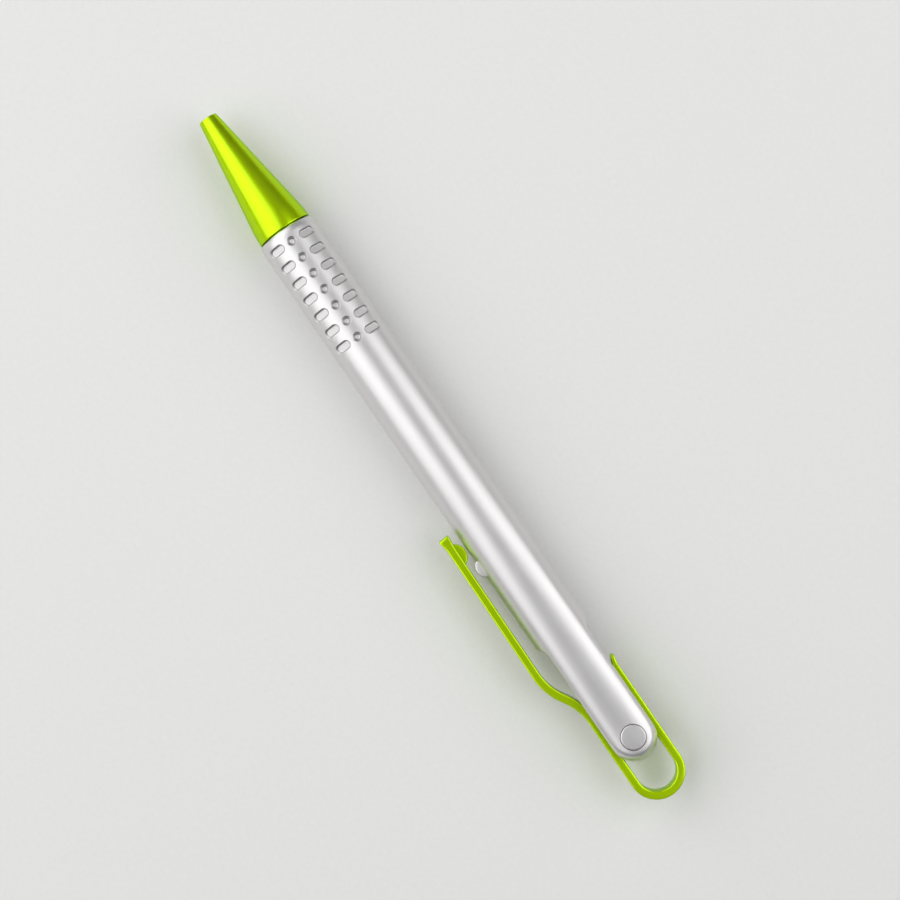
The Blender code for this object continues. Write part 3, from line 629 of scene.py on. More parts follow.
def barrel_skin():
    stop = PLUNGER_REAR + SEAT_GAP
    inside = [(stop, 0), (stop, TONGUE_BORE), (BORE_END, TONGUE_BORE), (BORE_END, BORE_RADIUS)]
    mouth = [(BARREL_FRONT + FACE_EDGE, BORE_RADIUS), (BARREL_FRONT, BORE_RADIUS + FACE_EDGE)]
    face = [(BARREL_FRONT, BARREL_RADIUS - LIP_DROP - FACE_EDGE)]
    rings = [bore_ring(x, radius) for x, radius in inside + mouth + face]
    return skin("barrel_skin", rings + [barrel_ring(x) for x in barrel_places()])


barrel_mesh = barrel_skin()
print(f"barrel skin: {len(barrel_mesh.polygons)} faces")

# %% [markdown]
# ## Dimples of the grip
# The grip has seven rows of shallow pockets: a round one on top between two oblong ones, and the same
# below. Each is cut by a block whose rings follow the curve of the barrel near the skin, so that the lip
# is equally wide all round, and come down to a flat floor. The oblong ones have steep walls, the round
# ones lean out like a countersink.

# %% Dimples of the grip
DIMPLE_ROWS = 7
DIMPLE_PITCH = 3.25 * MM
DIMPLE_FIRST = BARREL_FRONT + 2.4 * MM
DIMPLE_RADIUS = 0.76 * MM
DIMPLE_DEPTH = 0.52 * MM
DIMPLE_ROOT = 0.12 * MM
DIMPLE_SPAN = 0.83 * MM
DIMPLE_SIDE_ANGLE = 36
OBLONG_LEAN = 0.13 * MM
ROUND_LEAN = 0.34 * MM
LIP_RISE = 0.06 * MM
LIP_RUN = 0.16 * MM
ROOT_STEPS = ((0, 1.3), (0, 1), (0.3, 0.3), (1, 0))
LIP_STEPS = ((-1, 0), (1, 1), (3, 1))
CAP_POINTS = 17
RUN_POINTS = 12


def oblong(length, radius):
    """An outline of two half rounds a length apart, with points along the straight sides too."""
    turn = np.linspace(-math.pi / 2, math.pi / 2, CAP_POINTS)
    cap = np.column_stack([radius * np.cos(turn) + length / 2, radius * np.sin(turn)])
    run = length * np.linspace(0.5, -0.5, RUN_POINTS)[1:-1]
    half = np.concatenate([cap, np.column_stack([run, np.full(len(run), radius)])])
    return np.concatenate([half, -half])


def dimple(x, degrees, span, lean):
    """A cutter at a place on the barrel and an angle round it, from its floor up past its lip."""
    floor = BARREL_RADIUS - DIMPLE_DEPTH
    rings = []
    for height, inset in ROOT_STEPS:
        flat = oblong(2 * span, DIMPLE_RADIUS - lean - inset * DIMPLE_ROOT)
        rings.append(raised(flat, floor + height * DIMPLE_ROOT))
    for height, out in LIP_STEPS:
        flat = oblong(2 * span, DIMPLE_RADIUS + out * LIP_RUN)
        rings.append(raised(flat, np.sqrt(BARREL_RADIUS**2 - flat[:, 0] ** 2) + height * LIP_RISE))
    across = Matrix(((0, 1, 0), (-1, 0, 0), (0, 0, 1))).to_4x4()
    aside = turn_about("X", degrees)
    return moved(skin("dimple", rings), (x, 0, 0), aside @ across)


def gathered(meshes):
    """One mesh out of several that do not touch."""
    work = bmesh.new()
    for mesh in meshes:
        work.from_mesh(mesh)
        bpy.data.meshes.remove(mesh)
    result = bpy.data.meshes.new("gathered")
    work.to_mesh(result)
    work.free()
    return result


dimples = []
for x in DIMPLE_FIRST + DIMPLE_PITCH * np.arange(DIMPLE_ROWS):
    for face in (0, 180):
        dimples.append(dimple(x, face, 0.0, ROUND_LEAN))
        for side in (-DIMPLE_SIDE_ANGLE, DIMPLE_SIDE_ANGLE):
            dimples.append(dimple(x, face + side, DIMPLE_SPAN, OBLONG_LEAN))
print(len(dimples), "dimples to cut")
barrel_mesh = carved(barrel_mesh, "DIFFERENCE", gathered(dimples))

# %% [markdown]
# ## Bump, slot and pocket of the barrel
# Under the clip a half-moon bump stands on the barrel, and holds cloth or paper against the bump of the
# clip. In the channels a slot lets the band's studs through to the push rod. On top of the tongue a round
# pocket takes the disc. These are local features on a finished skin, so they are joined and cut.

# %% Bump, slot and pocket of the barrel
BUMP_LENGTH = 3.2 * MM
BUMP_HEIGHT = 0.75 * MM
BUMP_WIDTH = 3.6 * MM
BUMP_PLACE = BARREL_FRONT + 66.1 * MM
BUMP_EDGE = 0.25 * MM
STUD_RADIUS = 1.0 * MM
STUD_X = BARREL_REAR - 8.1 * MM
DISC_X = BARREL_REAR - DISC_PLACE
DISC_GROOVE = 0.06 * MM
DISC_SLACK = 0.05 * MM
POCKET_EDGE = 0.13 * MM
ARC_POINTS = 25
ROUND_STEPS = 96
ON_END = turn_about("Y", -90)
ON_SIDE = turn_about("X", 90)


def half_moon(length, height, root):
    """A bump seen from above: an arc on the line y = 0, and a root sunk below it."""
    radius = (length**2 / 4 + height**2) / (2 * height)
    half = math.asin(length / 2 / radius)
    turn = np.linspace(half, -half, ARC_POINTS)
    arc = np.column_stack([radius * np.sin(turn), radius * np.cos(turn) + height - radius])
    return np.concatenate([arc, [(-length / 2, -root), (length / 2, -root)]])


wall = BARREL_RADIUS - BORE_RADIUS
bump = block("barrel_bump", half_moon(BUMP_LENGTH, BUMP_HEIGHT, wall / 2), BUMP_WIDTH / 2, BUMP_EDGE)
moved(bump, (BUMP_PLACE, -BARREL_RADIUS, 0), turn_about("X", 180))
slot_tool = block("stud_slot", oblong(TRAVEL, STUD_RADIUS + SLIDE_GAP), BARREL_RADIUS)
moved(slot_tool, (STUD_X - TRAVEL / 2, 0, 0), ON_SIDE)
disc_low, disc_high = (corner.z - pen_origin.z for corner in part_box("end_disc"))
pocket = DISC_DIAMETER / 2 + DISC_GROOVE
pocket_corners = [
    (disc_low - SEAT_GAP, pocket, 0),
    (disc_high - POCKET_EDGE, pocket, 0),
    (disc_high + POCKET_EDGE, pocket + 2 * POCKET_EDGE, 0),
    (disc_high + wall, pocket + 2 * POCKET_EDGE, 0),
]
pocket_tool = moved(solid("disc_pocket", pocket_corners, ROUND_STEPS), (DISC_X, 0, 0), ON_END)
barrel_mesh = carved(barrel_mesh, "UNION", bump)
barrel_mesh = carved(barrel_mesh, "DIFFERENCE", slot_tool, pocket_tool)
settle("dimpled_barrel", barrel_mesh, "barrel", "barrel_silver", "barrel")

# %% [markdown]
# ## The inlaid disc
# A small silver disc lies flush in the pocket, with a narrow groove round it. A cylinder would do, but
# its rim would be a hard line. It is turned from a profile with rounded edges instead, and stood on end.

# %% The inlaid disc
DISC_EDGE = 0.32 * MM
disc_radius = pocket - DISC_SLACK
disc_rim = [(disc_low, disc_radius, DISC_EDGE), (disc_high, disc_radius, DISC_EDGE)]
disc = moved(solid("disc", disc_rim, ROUND_STEPS), (DISC_X, 0, 0), ON_END)
settle("inlaid_disc", disc, "barrel", "disc_silver", "end_disc")

# %% [markdown]
# ## Lime metallic lacquer
# The nose and the clip band wear a yellow-green lacquer over a bright base: the flakes below give a
# metallic colour, and the clear coat above adds a thin white gloss. The Principled shader has both, a
# metallic base and a coat. The grain is finer than on the barrel, and a slow cloud keeps the colour from
# looking printed.

# %% Lime metallic lacquer
LIME_DARK = (0.45, 0.70, 0.0)
LIME_LIGHT = (0.59, 0.90, 0.002)
LIME_AT_GRAZING = (0.5, 0.72, 0.05, 1)


def lime_lacquer(slot, roughness, metallic):
    paint = Paint(slot)
    flake = paint.grain(0.09 * MM, detail=1)
    cloud = paint.grain(4 * MM, detail=3)
    streak = paint.grain(0.5 * MM, stretch=(0.05, 1, 1))
    paint.set(
        Base_Color=paint.mix(0.5 * flake + 0.2 * streak + 0.3 * cloud, LIME_DARK, LIME_LIGHT),
        Metallic=metallic,
        Specular_Tint=LIME_AT_GRAZING,
        Roughness=roughness + 0.08 * flake + 0.06 * cloud,
        Coat_Weight=0.2 + 0.1 * cloud,
        Coat_Roughness=0.1,
        Normal=paint.bump(0.7 * flake + 0.3 * cloud, 0.004 * MM),
    )


lime_lacquer("nose_lime", roughness=0.28, metallic=0.97)
lime_lacquer("band_lime", roughness=0.16, metallic=0.58)
print("lime lacquers: nose_lime, band_lime")

# %% [markdown]
# ## The nose cone
# The nose is a straight cone whose base eases into the barrel's width. It screws in by a spigot, and
# holds the spring in a stepped bore. It is one turned profile from the mouth round the outside to the
# spigot and back through the bore. The screw thread on the spigot is a ripple of the radius that climbs
# with the angle.

# %% The nose cone
NOSE_LENGTH = BARREL_FRONT - SEAT_GAP
NOSE_TIP = 1.7 * MM
NOSE_MOUTH = 1.3 * MM
CONE_LENGTH = 20 * MM
CONE_RADIUS = 4.64 * MM
NOSE_BASE = 4.93 * MM
NOSE_EDGE = 0.16 * MM
SPIGOT_RADIUS = 3.6 * MM
NOSE_REAR = along_pen("nose_cone")[1]
GUIDE_FRONT = 7.5 * MM
GUIDE_RADIUS = 1.8 * MM
SPRING_SEAT = 9.5 * MM
CHAMBER_RADIUS = 2.4 * MM
THREAD_PITCH = 1.0 * MM
THREAD_DEPTH = 0.18 * MM
THREAD_ROUND = 1.2 * MM
THREAD_POINTS = 10
EASING_SHARES = np.linspace(0, 0.9, 10)
NOSE_STEPS = 144


def nose_profile():
    slope = (CONE_RADIUS - NOSE_TIP) / CONE_LENGTH
    run = NOSE_LENGTH - CONE_LENGTH
    bend = NOSE_BASE - CONE_RADIUS - slope * run
    easing = []
    for t in EASING_SHARES:
        easing.append((CONE_LENGTH + run * t, CONE_RADIUS + slope * run * t + bend * t * t, 0))
    along_thread = np.arange(NOSE_LENGTH + THREAD_PITCH / 2, NOSE_REAR, THREAD_PITCH / THREAD_POINTS)
    thread = [(x, SPIGOT_RADIUS, 0) for x in along_thread]
    corners = [
        (0, NOSE_MOUTH, NOSE_EDGE),
        (0, NOSE_TIP, NOSE_EDGE),
        *easing,
        (NOSE_LENGTH, NOSE_BASE, NOSE_EDGE),
        (NOSE_LENGTH, SPIGOT_RADIUS, 0),
        *thread,
        (NOSE_REAR, SPIGOT_RADIUS, 0),
        (NOSE_REAR, CHAMBER_RADIUS, NOSE_EDGE),
        (SPRING_SEAT, CHAMBER_RADIUS, 0),
        (SPRING_SEAT, GUIDE_RADIUS, NOSE_EDGE),
        (GUIDE_FRONT, GUIDE_RADIUS, 0),
        (GUIDE_FRONT, NOSE_MOUTH, 0),
    ]
    return soften(corners)


def cut_thread(mesh):
    """Ripple the spigot's skin into a screw thread that fades out at both ends."""
    count = len(mesh.vertices)
    points = np.empty(count * 3)
    mesh.vertices.foreach_get("co", points)
    points = points.reshape(-1, 3)
    radius = np.hypot(points[:, 1], points[:, 2])
    turn = np.arctan2(points[:, 2], points[:, 1])
    into = (points[:, 0] - NOSE_LENGTH) / THREAD_ROUND
    fade = ease(into) * ease((NOSE_REAR - points[:, 0]) / THREAD_ROUND)
    wave = 0.5 - 0.5 * np.cos(math.tau * points[:, 0] / THREAD_PITCH - turn)
    on_spigot = np.abs(radius - SPIGOT_RADIUS) < WELD
    share = np.where(on_spigot, 1 - THREAD_DEPTH * wave * fade / SPIGOT_RADIUS, 1)
    points[:, 1:] *= share[:, None]
    mesh.vertices.foreach_set("co", points.ravel())
    return mesh


nose = cut_thread(turned("nose", nose_profile(), NOSE_STEPS, loop=True))
settle("lime_nose", nose, "nose", "nose_lime", "nose_cone")

# %% [markdown]
# ## The path of the clip band
# One flat strip makes the clip, the loop behind the barrel and a short arm on the other side. Its middle
# line is a walk of straight runs and arcs, which is also how such a strip would be dimensioned. The clip
# comes out of the channel in an S, leans in a little, and flares at its free end.

# %% The path of the clip band
STRIP_THICKNESS = 1.45 * MM
LOOP_GAP = 6.0 * MM
CHANNEL_RUN = 13 * MM
BEND_RADIUS = 10.8 * MM
CLIP_GAP = 1.75 * MM
CLIP_ARM = 26.3 * MM
CLIP_LEAN = math.radians(0.55)
CLIP_FLARE = (11.4 * MM, math.radians(7))
SHORT_ARM = 18.3 * MM
SHORT_FLARE = (6.5 * MM, math.radians(-18))
LOOP_CENTRE = BARREL_REAR + LOOP_GAP - LOOP_WIDTH / 2
ARM_OFFSET = (LOOP_WIDTH + STRIP_THICKNESS) / 2
CLIP_OFFSET = BARREL_RADIUS + CLIP_GAP + STRIP_THICKNESS / 2
BEND_STEP = math.radians(2)
RUN_STEP = 0.4 * MM


def walk(start, heading, legs):
    """Points along legs from a start: (length, 0) goes straight on, (radius, turn) bends to the left."""
    place = np.array(start, float)
    points = [place]
    for size, bend in legs:
        steps = math.ceil(abs(bend) / BEND_STEP if bend else size / RUN_STEP)
        step = 2 * size * math.sin(abs(bend) / steps / 2) if bend else size / steps
        for _ in range(steps):
            heading += bend / steps / 2
            place = place + step * np.array((math.cos(heading), math.sin(heading)))
            heading += bend / steps / 2
            points.append(place)
    return points


def band_path():
    """The strip's middle line, from the clip's free end round the loop to the short arm's end."""
    bend = math.acos(1 - (CLIP_OFFSET - ARM_OFFSET) / (2 * BEND_RADIUS))
    s_bend = [(BEND_RADIUS, bend), (BEND_RADIUS, -bend - CLIP_LEAN)]
    clip_legs = [(CHANNEL_RUN, 0), *s_bend, (CLIP_ARM, 0), CLIP_FLARE]
    clip = walk((LOOP_CENTRE, -ARM_OFFSET), math.pi, clip_legs)
    loop = walk((LOOP_CENTRE, -ARM_OFFSET), 0, [(ARM_OFFSET, math.pi)])
    short = walk((LOOP_CENTRE, ARM_OFFSET), math.pi, [(SHORT_ARM, 0), SHORT_FLARE])
    return np.array(clip[::-1] + loop[1:] + short[1:])


path = band_path()
path_steps = np.linalg.norm(np.diff(path, axis=0), axis=1)
path_length = np.concatenate([[0], np.cumsum(path_steps)])
print(f"the strip is {path_length[-1] / MM:.1f} mm long")

# %% [markdown]
# ## The clip band
# A rounded rectangle is swept along that path. At the free end of the clip the strip swells a little to
# both sides, which helps it over cloth. The short arm thins out on the inside, so that it slips over the
# barrel when the pen is put together. Both ends are closed by a few rings that draw in, and the clip's
# bump and the two studs that push the rod are joined on.

# %% The clip band
STRIP_EDGE = 0.3 * MM
STRIP_END = 0.35 * MM
END_DROP = 0.6 * MM
END_NARROWING = 0.35
SWELL = 0.45 * MM
SWELL_LENGTH = 2.8 * MM
LEAD_IN = 0.75 * MM
LEAD_LENGTH = 3.2 * MM
CLIP_BUMP_LENGTH = 4.1 * MM
CLIP_BUMP_HEIGHT = 1.27 * MM
CLIP_BUMP_WIDTH = 2.4 * MM
CLIP_BUMP_PLACE = 1.95 * MM
STUD_REACH = 2.5 * MM
PEG_STEPS = 48


def strip_ring(place, along, outer, inner, inset=0.0):
    """A rounded rectangle across the strip, from its outer to its inner face. An inset draws it in."""
    low = -outer + END_NARROWING * inset
    high = inner - END_NARROWING * inset
    half = STRIP_WIDTH / 2 - inset
    corners = [(low, -half), (high, -half), (high, half), (low, half)]
    section = soften([(*corner, STRIP_EDGE) for corner in corners])
    across = np.array((-along[1], along[0]))
    return np.column_stack([place + section[:, :1] * across, section[:, 1]])


def strip_rings():
    along = unit(np.gradient(path, axis=0))
    swell = SWELL / 2 * (1 - ease(path_length / SWELL_LENGTH)) ** 2
    to_end = path_length[-1] - path_length
    outer = STRIP_THICKNESS / 2 + swell
    inner = outer - LEAD_IN * (1 - ease(to_end / LEAD_LENGTH))
    rings = [strip_ring(*at) for at in zip(path, along, outer, inner)]
    for turn in np.linspace(0, math.pi / 2, CORNER_STEPS + 2)[1:]:
        shift = STRIP_END * math.sin(turn)
        inset = END_DROP * (1 - math.cos(turn))
        rings.insert(0, strip_ring(path[0] - shift * along[0], along[0], outer[0], inner[0], inset))
        rings.append(strip_ring(path[-1] + shift * along[-1], along[-1], outer[-1], inner[-1], inset))
    return rings


def clip_bump():
    """The half-moon on the clip's inner face, behind the flare."""
    flare_end = CLIP_FLARE[0] * CLIP_FLARE[1]
    at = int(np.searchsorted(path_length, flare_end + CLIP_BUMP_PLACE))
    along = unit(path[at + 1] - path[at])
    face = path[at] + STRIP_THICKNESS / 2 * np.array((-along[1], along[0]))
    outline = half_moon(CLIP_BUMP_LENGTH, CLIP_BUMP_HEIGHT, STRIP_THICKNESS / 2)
    lean = Matrix.Rotation(math.atan2(along[1], along[0]), 4, "Z")
    return moved(block("clip_bump", outline, CLIP_BUMP_WIDTH / 2, BUMP_EDGE), (*face, 0), lean)


def stud(side):
    """A peg from an arm into the push rod."""
    corners = [(ARM_OFFSET - STUD_REACH, STUD_RADIUS, BUMP_EDGE), (ARM_OFFSET, STUD_RADIUS, 0)]
    outward = turn_about("Z", 90 * side)
    return moved(solid("stud", corners, PEG_STEPS), (STUD_X, 0, 0), outward)


band = carved(skin("band", strip_rings()), "UNION", clip_bump(), stud(-1), stud(1))
settle("clip_strip", band, "button", "band_lime", "clip_band")

# %% [markdown]
# ## Moulded white plastic
# Nobody sees the click mechanism until the pen is taken apart, but it has its finish all the same:
# natural white plastic, slightly uneven in tone, with the fine spark-eroded texture of a small mould.

# %% Moulded white plastic
def moulded_white(slot):
    paint = Paint(slot)
    spark = paint.grain(0.08 * MM, detail=2)
    cloud = paint.grain(3 * MM, detail=2)
    paint.set(
        Base_Color=paint.mix(0.6 * cloud + 0.4 * spark, (0.76, 0.76, 0.73), (0.87, 0.87, 0.85)),
        Roughness=0.38 + 0.14 * spark,
        Normal=paint.bump(spark, 0.006 * MM),
    )


moulded_white("cam_plastic")
print("cam plastic is ready")

# %% [markdown]
# ## The cam sleeve
# The sleeve is pressed into the barrel. Four ribs run along its inside, and their slanted front ends
# catch the fins of the rotor when the point is out. The outside is a plain tube, and the inside is a
# radius that depends on place and angle, so both come from one skin.

# %% The cam sleeve
CAM_FINS = 4
RIB_ANGLE = math.radians(45)
FIN_ANGLE = math.radians(30)
CAM_SLANT = 0.8 * MM
CAM_SOFT = 0.15 * MM
SLEEVE_FRONT, SLEEVE_REAR = along_pen("cam_sleeve")
SLEEVE_RADIUS = BORE_RADIUS - SEAT_GAP
GROOVE_RADIUS = 3.1 * MM
RIB_RADIUS = 2.3 * MM
RIB_FRONT = SLEEVE_REAR - 13.2 * MM
HUB_RADIUS = 2.0 * MM
FIN_RADIUS = 2.8 * MM
SLEEVE_STEPS = 192
SLANT_RINGS = 3
SLEEVE_END_RINGS = 8


def sleeve_inside(x, turn):
    """Radius of the sleeve's inside: grooves with ribs between them."""
    apart = math.tau / CAM_FINS
    off = np.mod(turn, apart) - apart / 2
    sides = 1 - ease((np.abs(off) - RIB_ANGLE / 2) * RIB_RADIUS / CAM_SOFT)
    front = RIB_FRONT + CAM_SLANT * (off / RIB_ANGLE + 0.5)
    ends = ease((x - front) / CAM_SOFT) * ease((SLEEVE_REAR - SEAT_GAP - x) / CAM_SOFT)
    return GROOVE_RADIUS - (GROOVE_RADIUS - RIB_RADIUS) * sides * ends


def sleeve_skin():
    turn = full_turn(SLEEVE_STEPS)
    slants = np.arange(RIB_FRONT, RIB_FRONT + CAM_SLANT + 2 * CAM_SOFT, CAM_SOFT / SLANT_RINGS)
    ends = np.linspace(SLEEVE_REAR - SEAT_GAP - 2 * CAM_SOFT, SLEEVE_REAR, SLEEVE_END_RINGS)
    inside = np.concatenate([[SLEEVE_FRONT + CAM_SOFT], slants, ends])
    outside = [
        (SLEEVE_REAR, SLEEVE_RADIUS - CAM_SOFT),
        (SLEEVE_REAR - CAM_SOFT, SLEEVE_RADIUS),
        (SLEEVE_FRONT + CAM_SOFT, SLEEVE_RADIUS),
        (SLEEVE_FRONT, SLEEVE_RADIUS - CAM_SOFT),
        (SLEEVE_FRONT, GROOVE_RADIUS + CAM_SOFT),
    ]
    profile = [(x, sleeve_inside(x, turn)) for x in inside] + outside
    return turned("sleeve", profile, SLEEVE_STEPS, loop=True)


settle("ribbed_sleeve", sleeve_skin(), "barrel", "cam_plastic", "cam_sleeve")

# %% [markdown]
# ## Rotor and push rod
# The rotor sits on the refill and the push rod on the band. Both are turned hubs with four fins whose
# facing ends slant alike, so that each press makes the rotor want to turn. A fin is a softened rectangle
# carried round a part of a circle, and is joined to its hub.

# %% Rotor and push rod
FIN_OVERHANG = 0.4 * MM
FIN_EDGE = 0.12 * MM
ROTOR_FIN_REAR = RIB_FRONT + TRAVEL - SEAT_GAP
ROTOR_REAR = ROTOR_FIN_REAR - CAM_SLANT
ROTOR_FRONT = ROTOR_REAR - 6.0 * MM
ROTOR_FIN_LENGTH = 3.8 * MM
PEG_RADIUS = 0.75 * MM
PEG_FRONT = along_pen("rotor")[0]
PLUNGER_FRONT = along_pen("plunger")[0]
PLUNGER_FIN_LENGTH = 6.0 * MM
HUB_STEPS = 98
FIN_RINGS = 10
HOLE_STRETCH = 0.01 * MM


def fin(middle, front, rear):
    """A fin on a hub: its front and rear each have a place at either edge of its spread."""
    inner = HUB_RADIUS / 2
    rings = []
    for share in np.linspace(0, 1, FIN_RINGS):
        angle = middle + FIN_ANGLE * (share - 0.5)
        low = between(*front, share)
        high = between(*rear, share)
        crest = [(high, FIN_RADIUS, FIN_EDGE), (low, FIN_RADIUS, FIN_EDGE)]
        place, radius = soften([(low, inner, 0), (high, inner, 0), *crest]).T
        rings.append(np.column_stack([place, radius * math.cos(angle), radius * math.sin(angle)]))
    return skin("fin", rings)


def fins(front, rear):
    return [fin(math.tau * k / CAM_FINS, front, rear) for k in range(CAM_FINS)]


rotor_corners = [
    (ROTOR_REAR - FIN_OVERHANG, HUB_RADIUS, FIN_EDGE),
    (ROTOR_FRONT, HUB_RADIUS, FIN_EDGE),
    (ROTOR_FRONT, PEG_RADIUS, FIN_EDGE),
    (PEG_FRONT, PEG_RADIUS, 2 * FIN_EDGE),
]
fin_front = ROTOR_REAR - ROTOR_FIN_LENGTH
rotor = solid("rotor_hub", rotor_corners, HUB_STEPS)
rotor = carved(rotor, "UNION", *fins((fin_front, fin_front), (ROTOR_REAR, ROTOR_FIN_REAR)))
settle("finned_rotor", rotor, "refill", "cam_plastic", "rotor")

hub_front = PLUNGER_FRONT + CAM_SLANT + FIN_OVERHANG
rod_corners = [(PLUNGER_REAR, HUB_RADIUS, FIN_EDGE), (hub_front, HUB_RADIUS, FIN_EDGE)]
slanted = (PLUNGER_FRONT, PLUNGER_FRONT + CAM_SLANT)
fin_rear = PLUNGER_FRONT + PLUNGER_FIN_LENGTH
plunger = solid("push_rod", rod_corners, HUB_STEPS)
plunger = carved(plunger, "UNION", *fins(slanted, (fin_rear, fin_rear)))
cross_hole = block("cross_hole", oblong(HOLE_STRETCH, STUD_RADIUS + SEAT_GAP), 2 * HUB_RADIUS)
plunger = carved(plunger, "DIFFERENCE", moved(cross_hole, (STUD_X, 0, 0), ON_SIDE))
settle("push_rod", plunger, "button", "cam_plastic", "plunger")

# %% [markdown]
# ## Refill tube and ink
# The refill is a thin tube of milky plastic with two small wings that the spring pushes against. Through
# its wall shows the column of thick blue ink, with a curved surface at the back where it has drawn away
# from the wall. The tube lets light through by its transmission, which is one number for the whole piece.

# %% Refill tube and ink
TUBE_FRONT, TUBE_REAR = along_pen("refill_tube")
TUBE_RADIUS = 1.5 * MM
TUBE_BORE = 1.1 * MM
TUBE_EDGE = 0.1 * MM
WING_LENGTH = 2.0 * MM
WING_WIDTH = 0.9 * MM
WING_FRONT = 28.2 * MM
WING_REACH = 2.1 * MM
INK_FRONT, INK_REAR = along_pen("ink_column")
INK_RADIUS = 0.9 * MM
HOLLOW_DEPTH = 0.45 * MM
HOLLOW_POINTS = 9
INK_STEPS = 64


def milky_tube(slot):
    paint = Paint(slot)
    haze = paint.grain(0.4 * MM, stretch=(0.1, 1, 1))
    paint.set(
        Base_Color=paint.mix(haze, (0.9, 0.91, 0.91), (0.96, 0.97, 0.97)),
        Roughness=0.06 + 0.1 * haze,
        Transmission_Weight=0.93,
        IOR=1.3,
        Normal=paint.bump(haze, 0.01 * MM),
    )


def thick_ink(slot):
    paint = Paint(slot)
    swirl = paint.grain(1.5 * MM, stretch=(0.3, 1, 1), detail=3)
    paint.set(
        Base_Color=paint.mix(swirl, (0.01, 0.03, 0.26), (0.02, 0.06, 0.42)),
        Roughness=0.14 + 0.1 * swirl,
        Normal=paint.bump(swirl, 0.01 * MM),
    )


def wing(side):
    """A small wing on the tube, above or below, sunk into its wall."""
    half = WING_LENGTH / 2
    root = (TUBE_RADIUS + TUBE_BORE) / 2
    outer = [(half, WING_REACH, 2 * TUBE_EDGE), (-half, WING_REACH, 2 * TUBE_EDGE)]
    outline = soften([(-half, root, 0), (half, root, 0), *outer])
    upright = turn_about("X", 90 * side)
    return moved(block("wing", outline, WING_WIDTH / 2, TUBE_EDGE), (WING_FRONT + half, 0, 0), upright)


milky_tube("tube_plastic")
thick_ink("ink")
rear_end = [(TUBE_REAR, TUBE_BORE, TUBE_EDGE), (TUBE_REAR, TUBE_RADIUS, TUBE_EDGE)]
front_end = [(TUBE_FRONT, TUBE_RADIUS, TUBE_EDGE), (TUBE_FRONT, TUBE_BORE, TUBE_EDGE)]
tube = turned("tube", soften(rear_end + front_end), ROUND_STEPS, loop=True)
tube = carved(tube, "UNION", wing(-1), wing(1))
settle("milky_refill", tube, "refill", "tube_plastic", "refill_tube")

share = np.linspace(0, 1, HOLLOW_POINTS)
hollow_end = np.column_stack([INK_REAR - HOLLOW_DEPTH * (1 - share**2), INK_RADIUS * share])
ink_front = [(INK_FRONT + TUBE_EDGE, INK_RADIUS), (INK_FRONT, INK_RADIUS - TUBE_EDGE), (INK_FRONT, 0)]
ink_fill = turned("ink_fill", np.concatenate([hollow_end, ink_front]), INK_STEPS)
settle("blue_ink", ink_fill, "refill", "ink", "ink_column")

# %% [markdown]
# ## Brass tip and ball
# The tip is turned on an automatic lathe, so its brass carries fine rings round the axis: noise that is
# counted fast along the pen and hardly at all across it. The rim is rolled over the carbide ball, and
# holds it so that it can turn but not fall out.

# %% Brass tip and ball
BALL_RADIUS = 0.5 * MM
BALL_GAP = 0.06 * MM
BALL_X = sum(along_pen("writing_ball")) / 2
TIP_LIP, TIP_END = along_pen("writing_tip")
TIP_RADIUS = 1.15 * MM
TIP_LIP_RADIUS = 0.62 * MM
TIP_CONE = 2.6 * MM
TIP_EDGE = 0.08 * MM
COLLAR_FRONT = TIP_LIP + 11 * MM
COLLAR_REAR = COLLAR_FRONT + 1.2 * MM
INK_CHANNEL = 0.3 * MM
CUP_POINTS = 12


def turned_brass(slot):
    paint = Paint(slot)
    rings = paint.grain(0.25 * MM, stretch=(5, 0.2, 0.2))
    stain = paint.grain(1.2 * MM, detail=3)
    paint.set(
        Base_Color=paint.mix(0.6 * rings + 0.4 * stain, (0.60, 0.42, 0.16), (0.80, 0.62, 0.28)),
        Metallic=1.0,
        Roughness=0.2 + 0.14 * rings + 0.06 * stain,
        Normal=paint.bump(rings, 0.006 * MM),
    )


def ground_carbide(slot):
    paint = Paint(slot)
    scuff = paint.grain(0.05 * MM, detail=3)
    paint.set(
        Base_Color=paint.mix(scuff, (0.24, 0.24, 0.26), (0.36, 0.36, 0.38)),
        Metallic=1.0,
        Roughness=0.08 + 0.14 * scuff,
        Normal=paint.bump(scuff, 0.002 * MM),
    )


def tip_profile():
    socket = BALL_RADIUS + BALL_GAP
    mouth = math.acos((BALL_X - TIP_LIP) / socket)
    floor = math.pi - math.asin(INK_CHANNEL / socket)
    cup_turns = np.linspace(floor, mouth, CUP_POINTS)
    cup = [(BALL_X - socket * math.cos(a), socket * math.sin(a), 0) for a in cup_turns]
    corners = [
        *cup,
        (TIP_LIP, TIP_LIP_RADIUS, TIP_EDGE / 2),
        (TIP_LIP + TIP_CONE, TIP_RADIUS, TIP_EDGE),
        (COLLAR_FRONT, TIP_RADIUS, 0),
        (COLLAR_FRONT, TUBE_RADIUS, TIP_EDGE),
        (COLLAR_REAR, TUBE_RADIUS, TIP_EDGE),
        (COLLAR_REAR, INK_RADIUS, 0),
        (TIP_END, INK_RADIUS, TIP_EDGE),
        (TIP_END, INK_CHANNEL, 0),
    ]
    return soften(corners)


turned_brass("tip_brass")
ground_carbide("ball_carbide")
tip = turned("tip", tip_profile(), ROUND_STEPS, loop=True)
settle("brass_tip", tip, "refill", "tip_brass", "writing_tip")
arc = np.linspace(0, math.pi, ARC_POINTS)
ball_profile = np.column_stack([BALL_X - BALL_RADIUS * np.cos(arc), BALL_RADIUS * np.sin(arc)])
settle("carbide_ball", turned("ball", ball_profile, PEG_STEPS), "ball", "ball_carbide", "writing_ball")
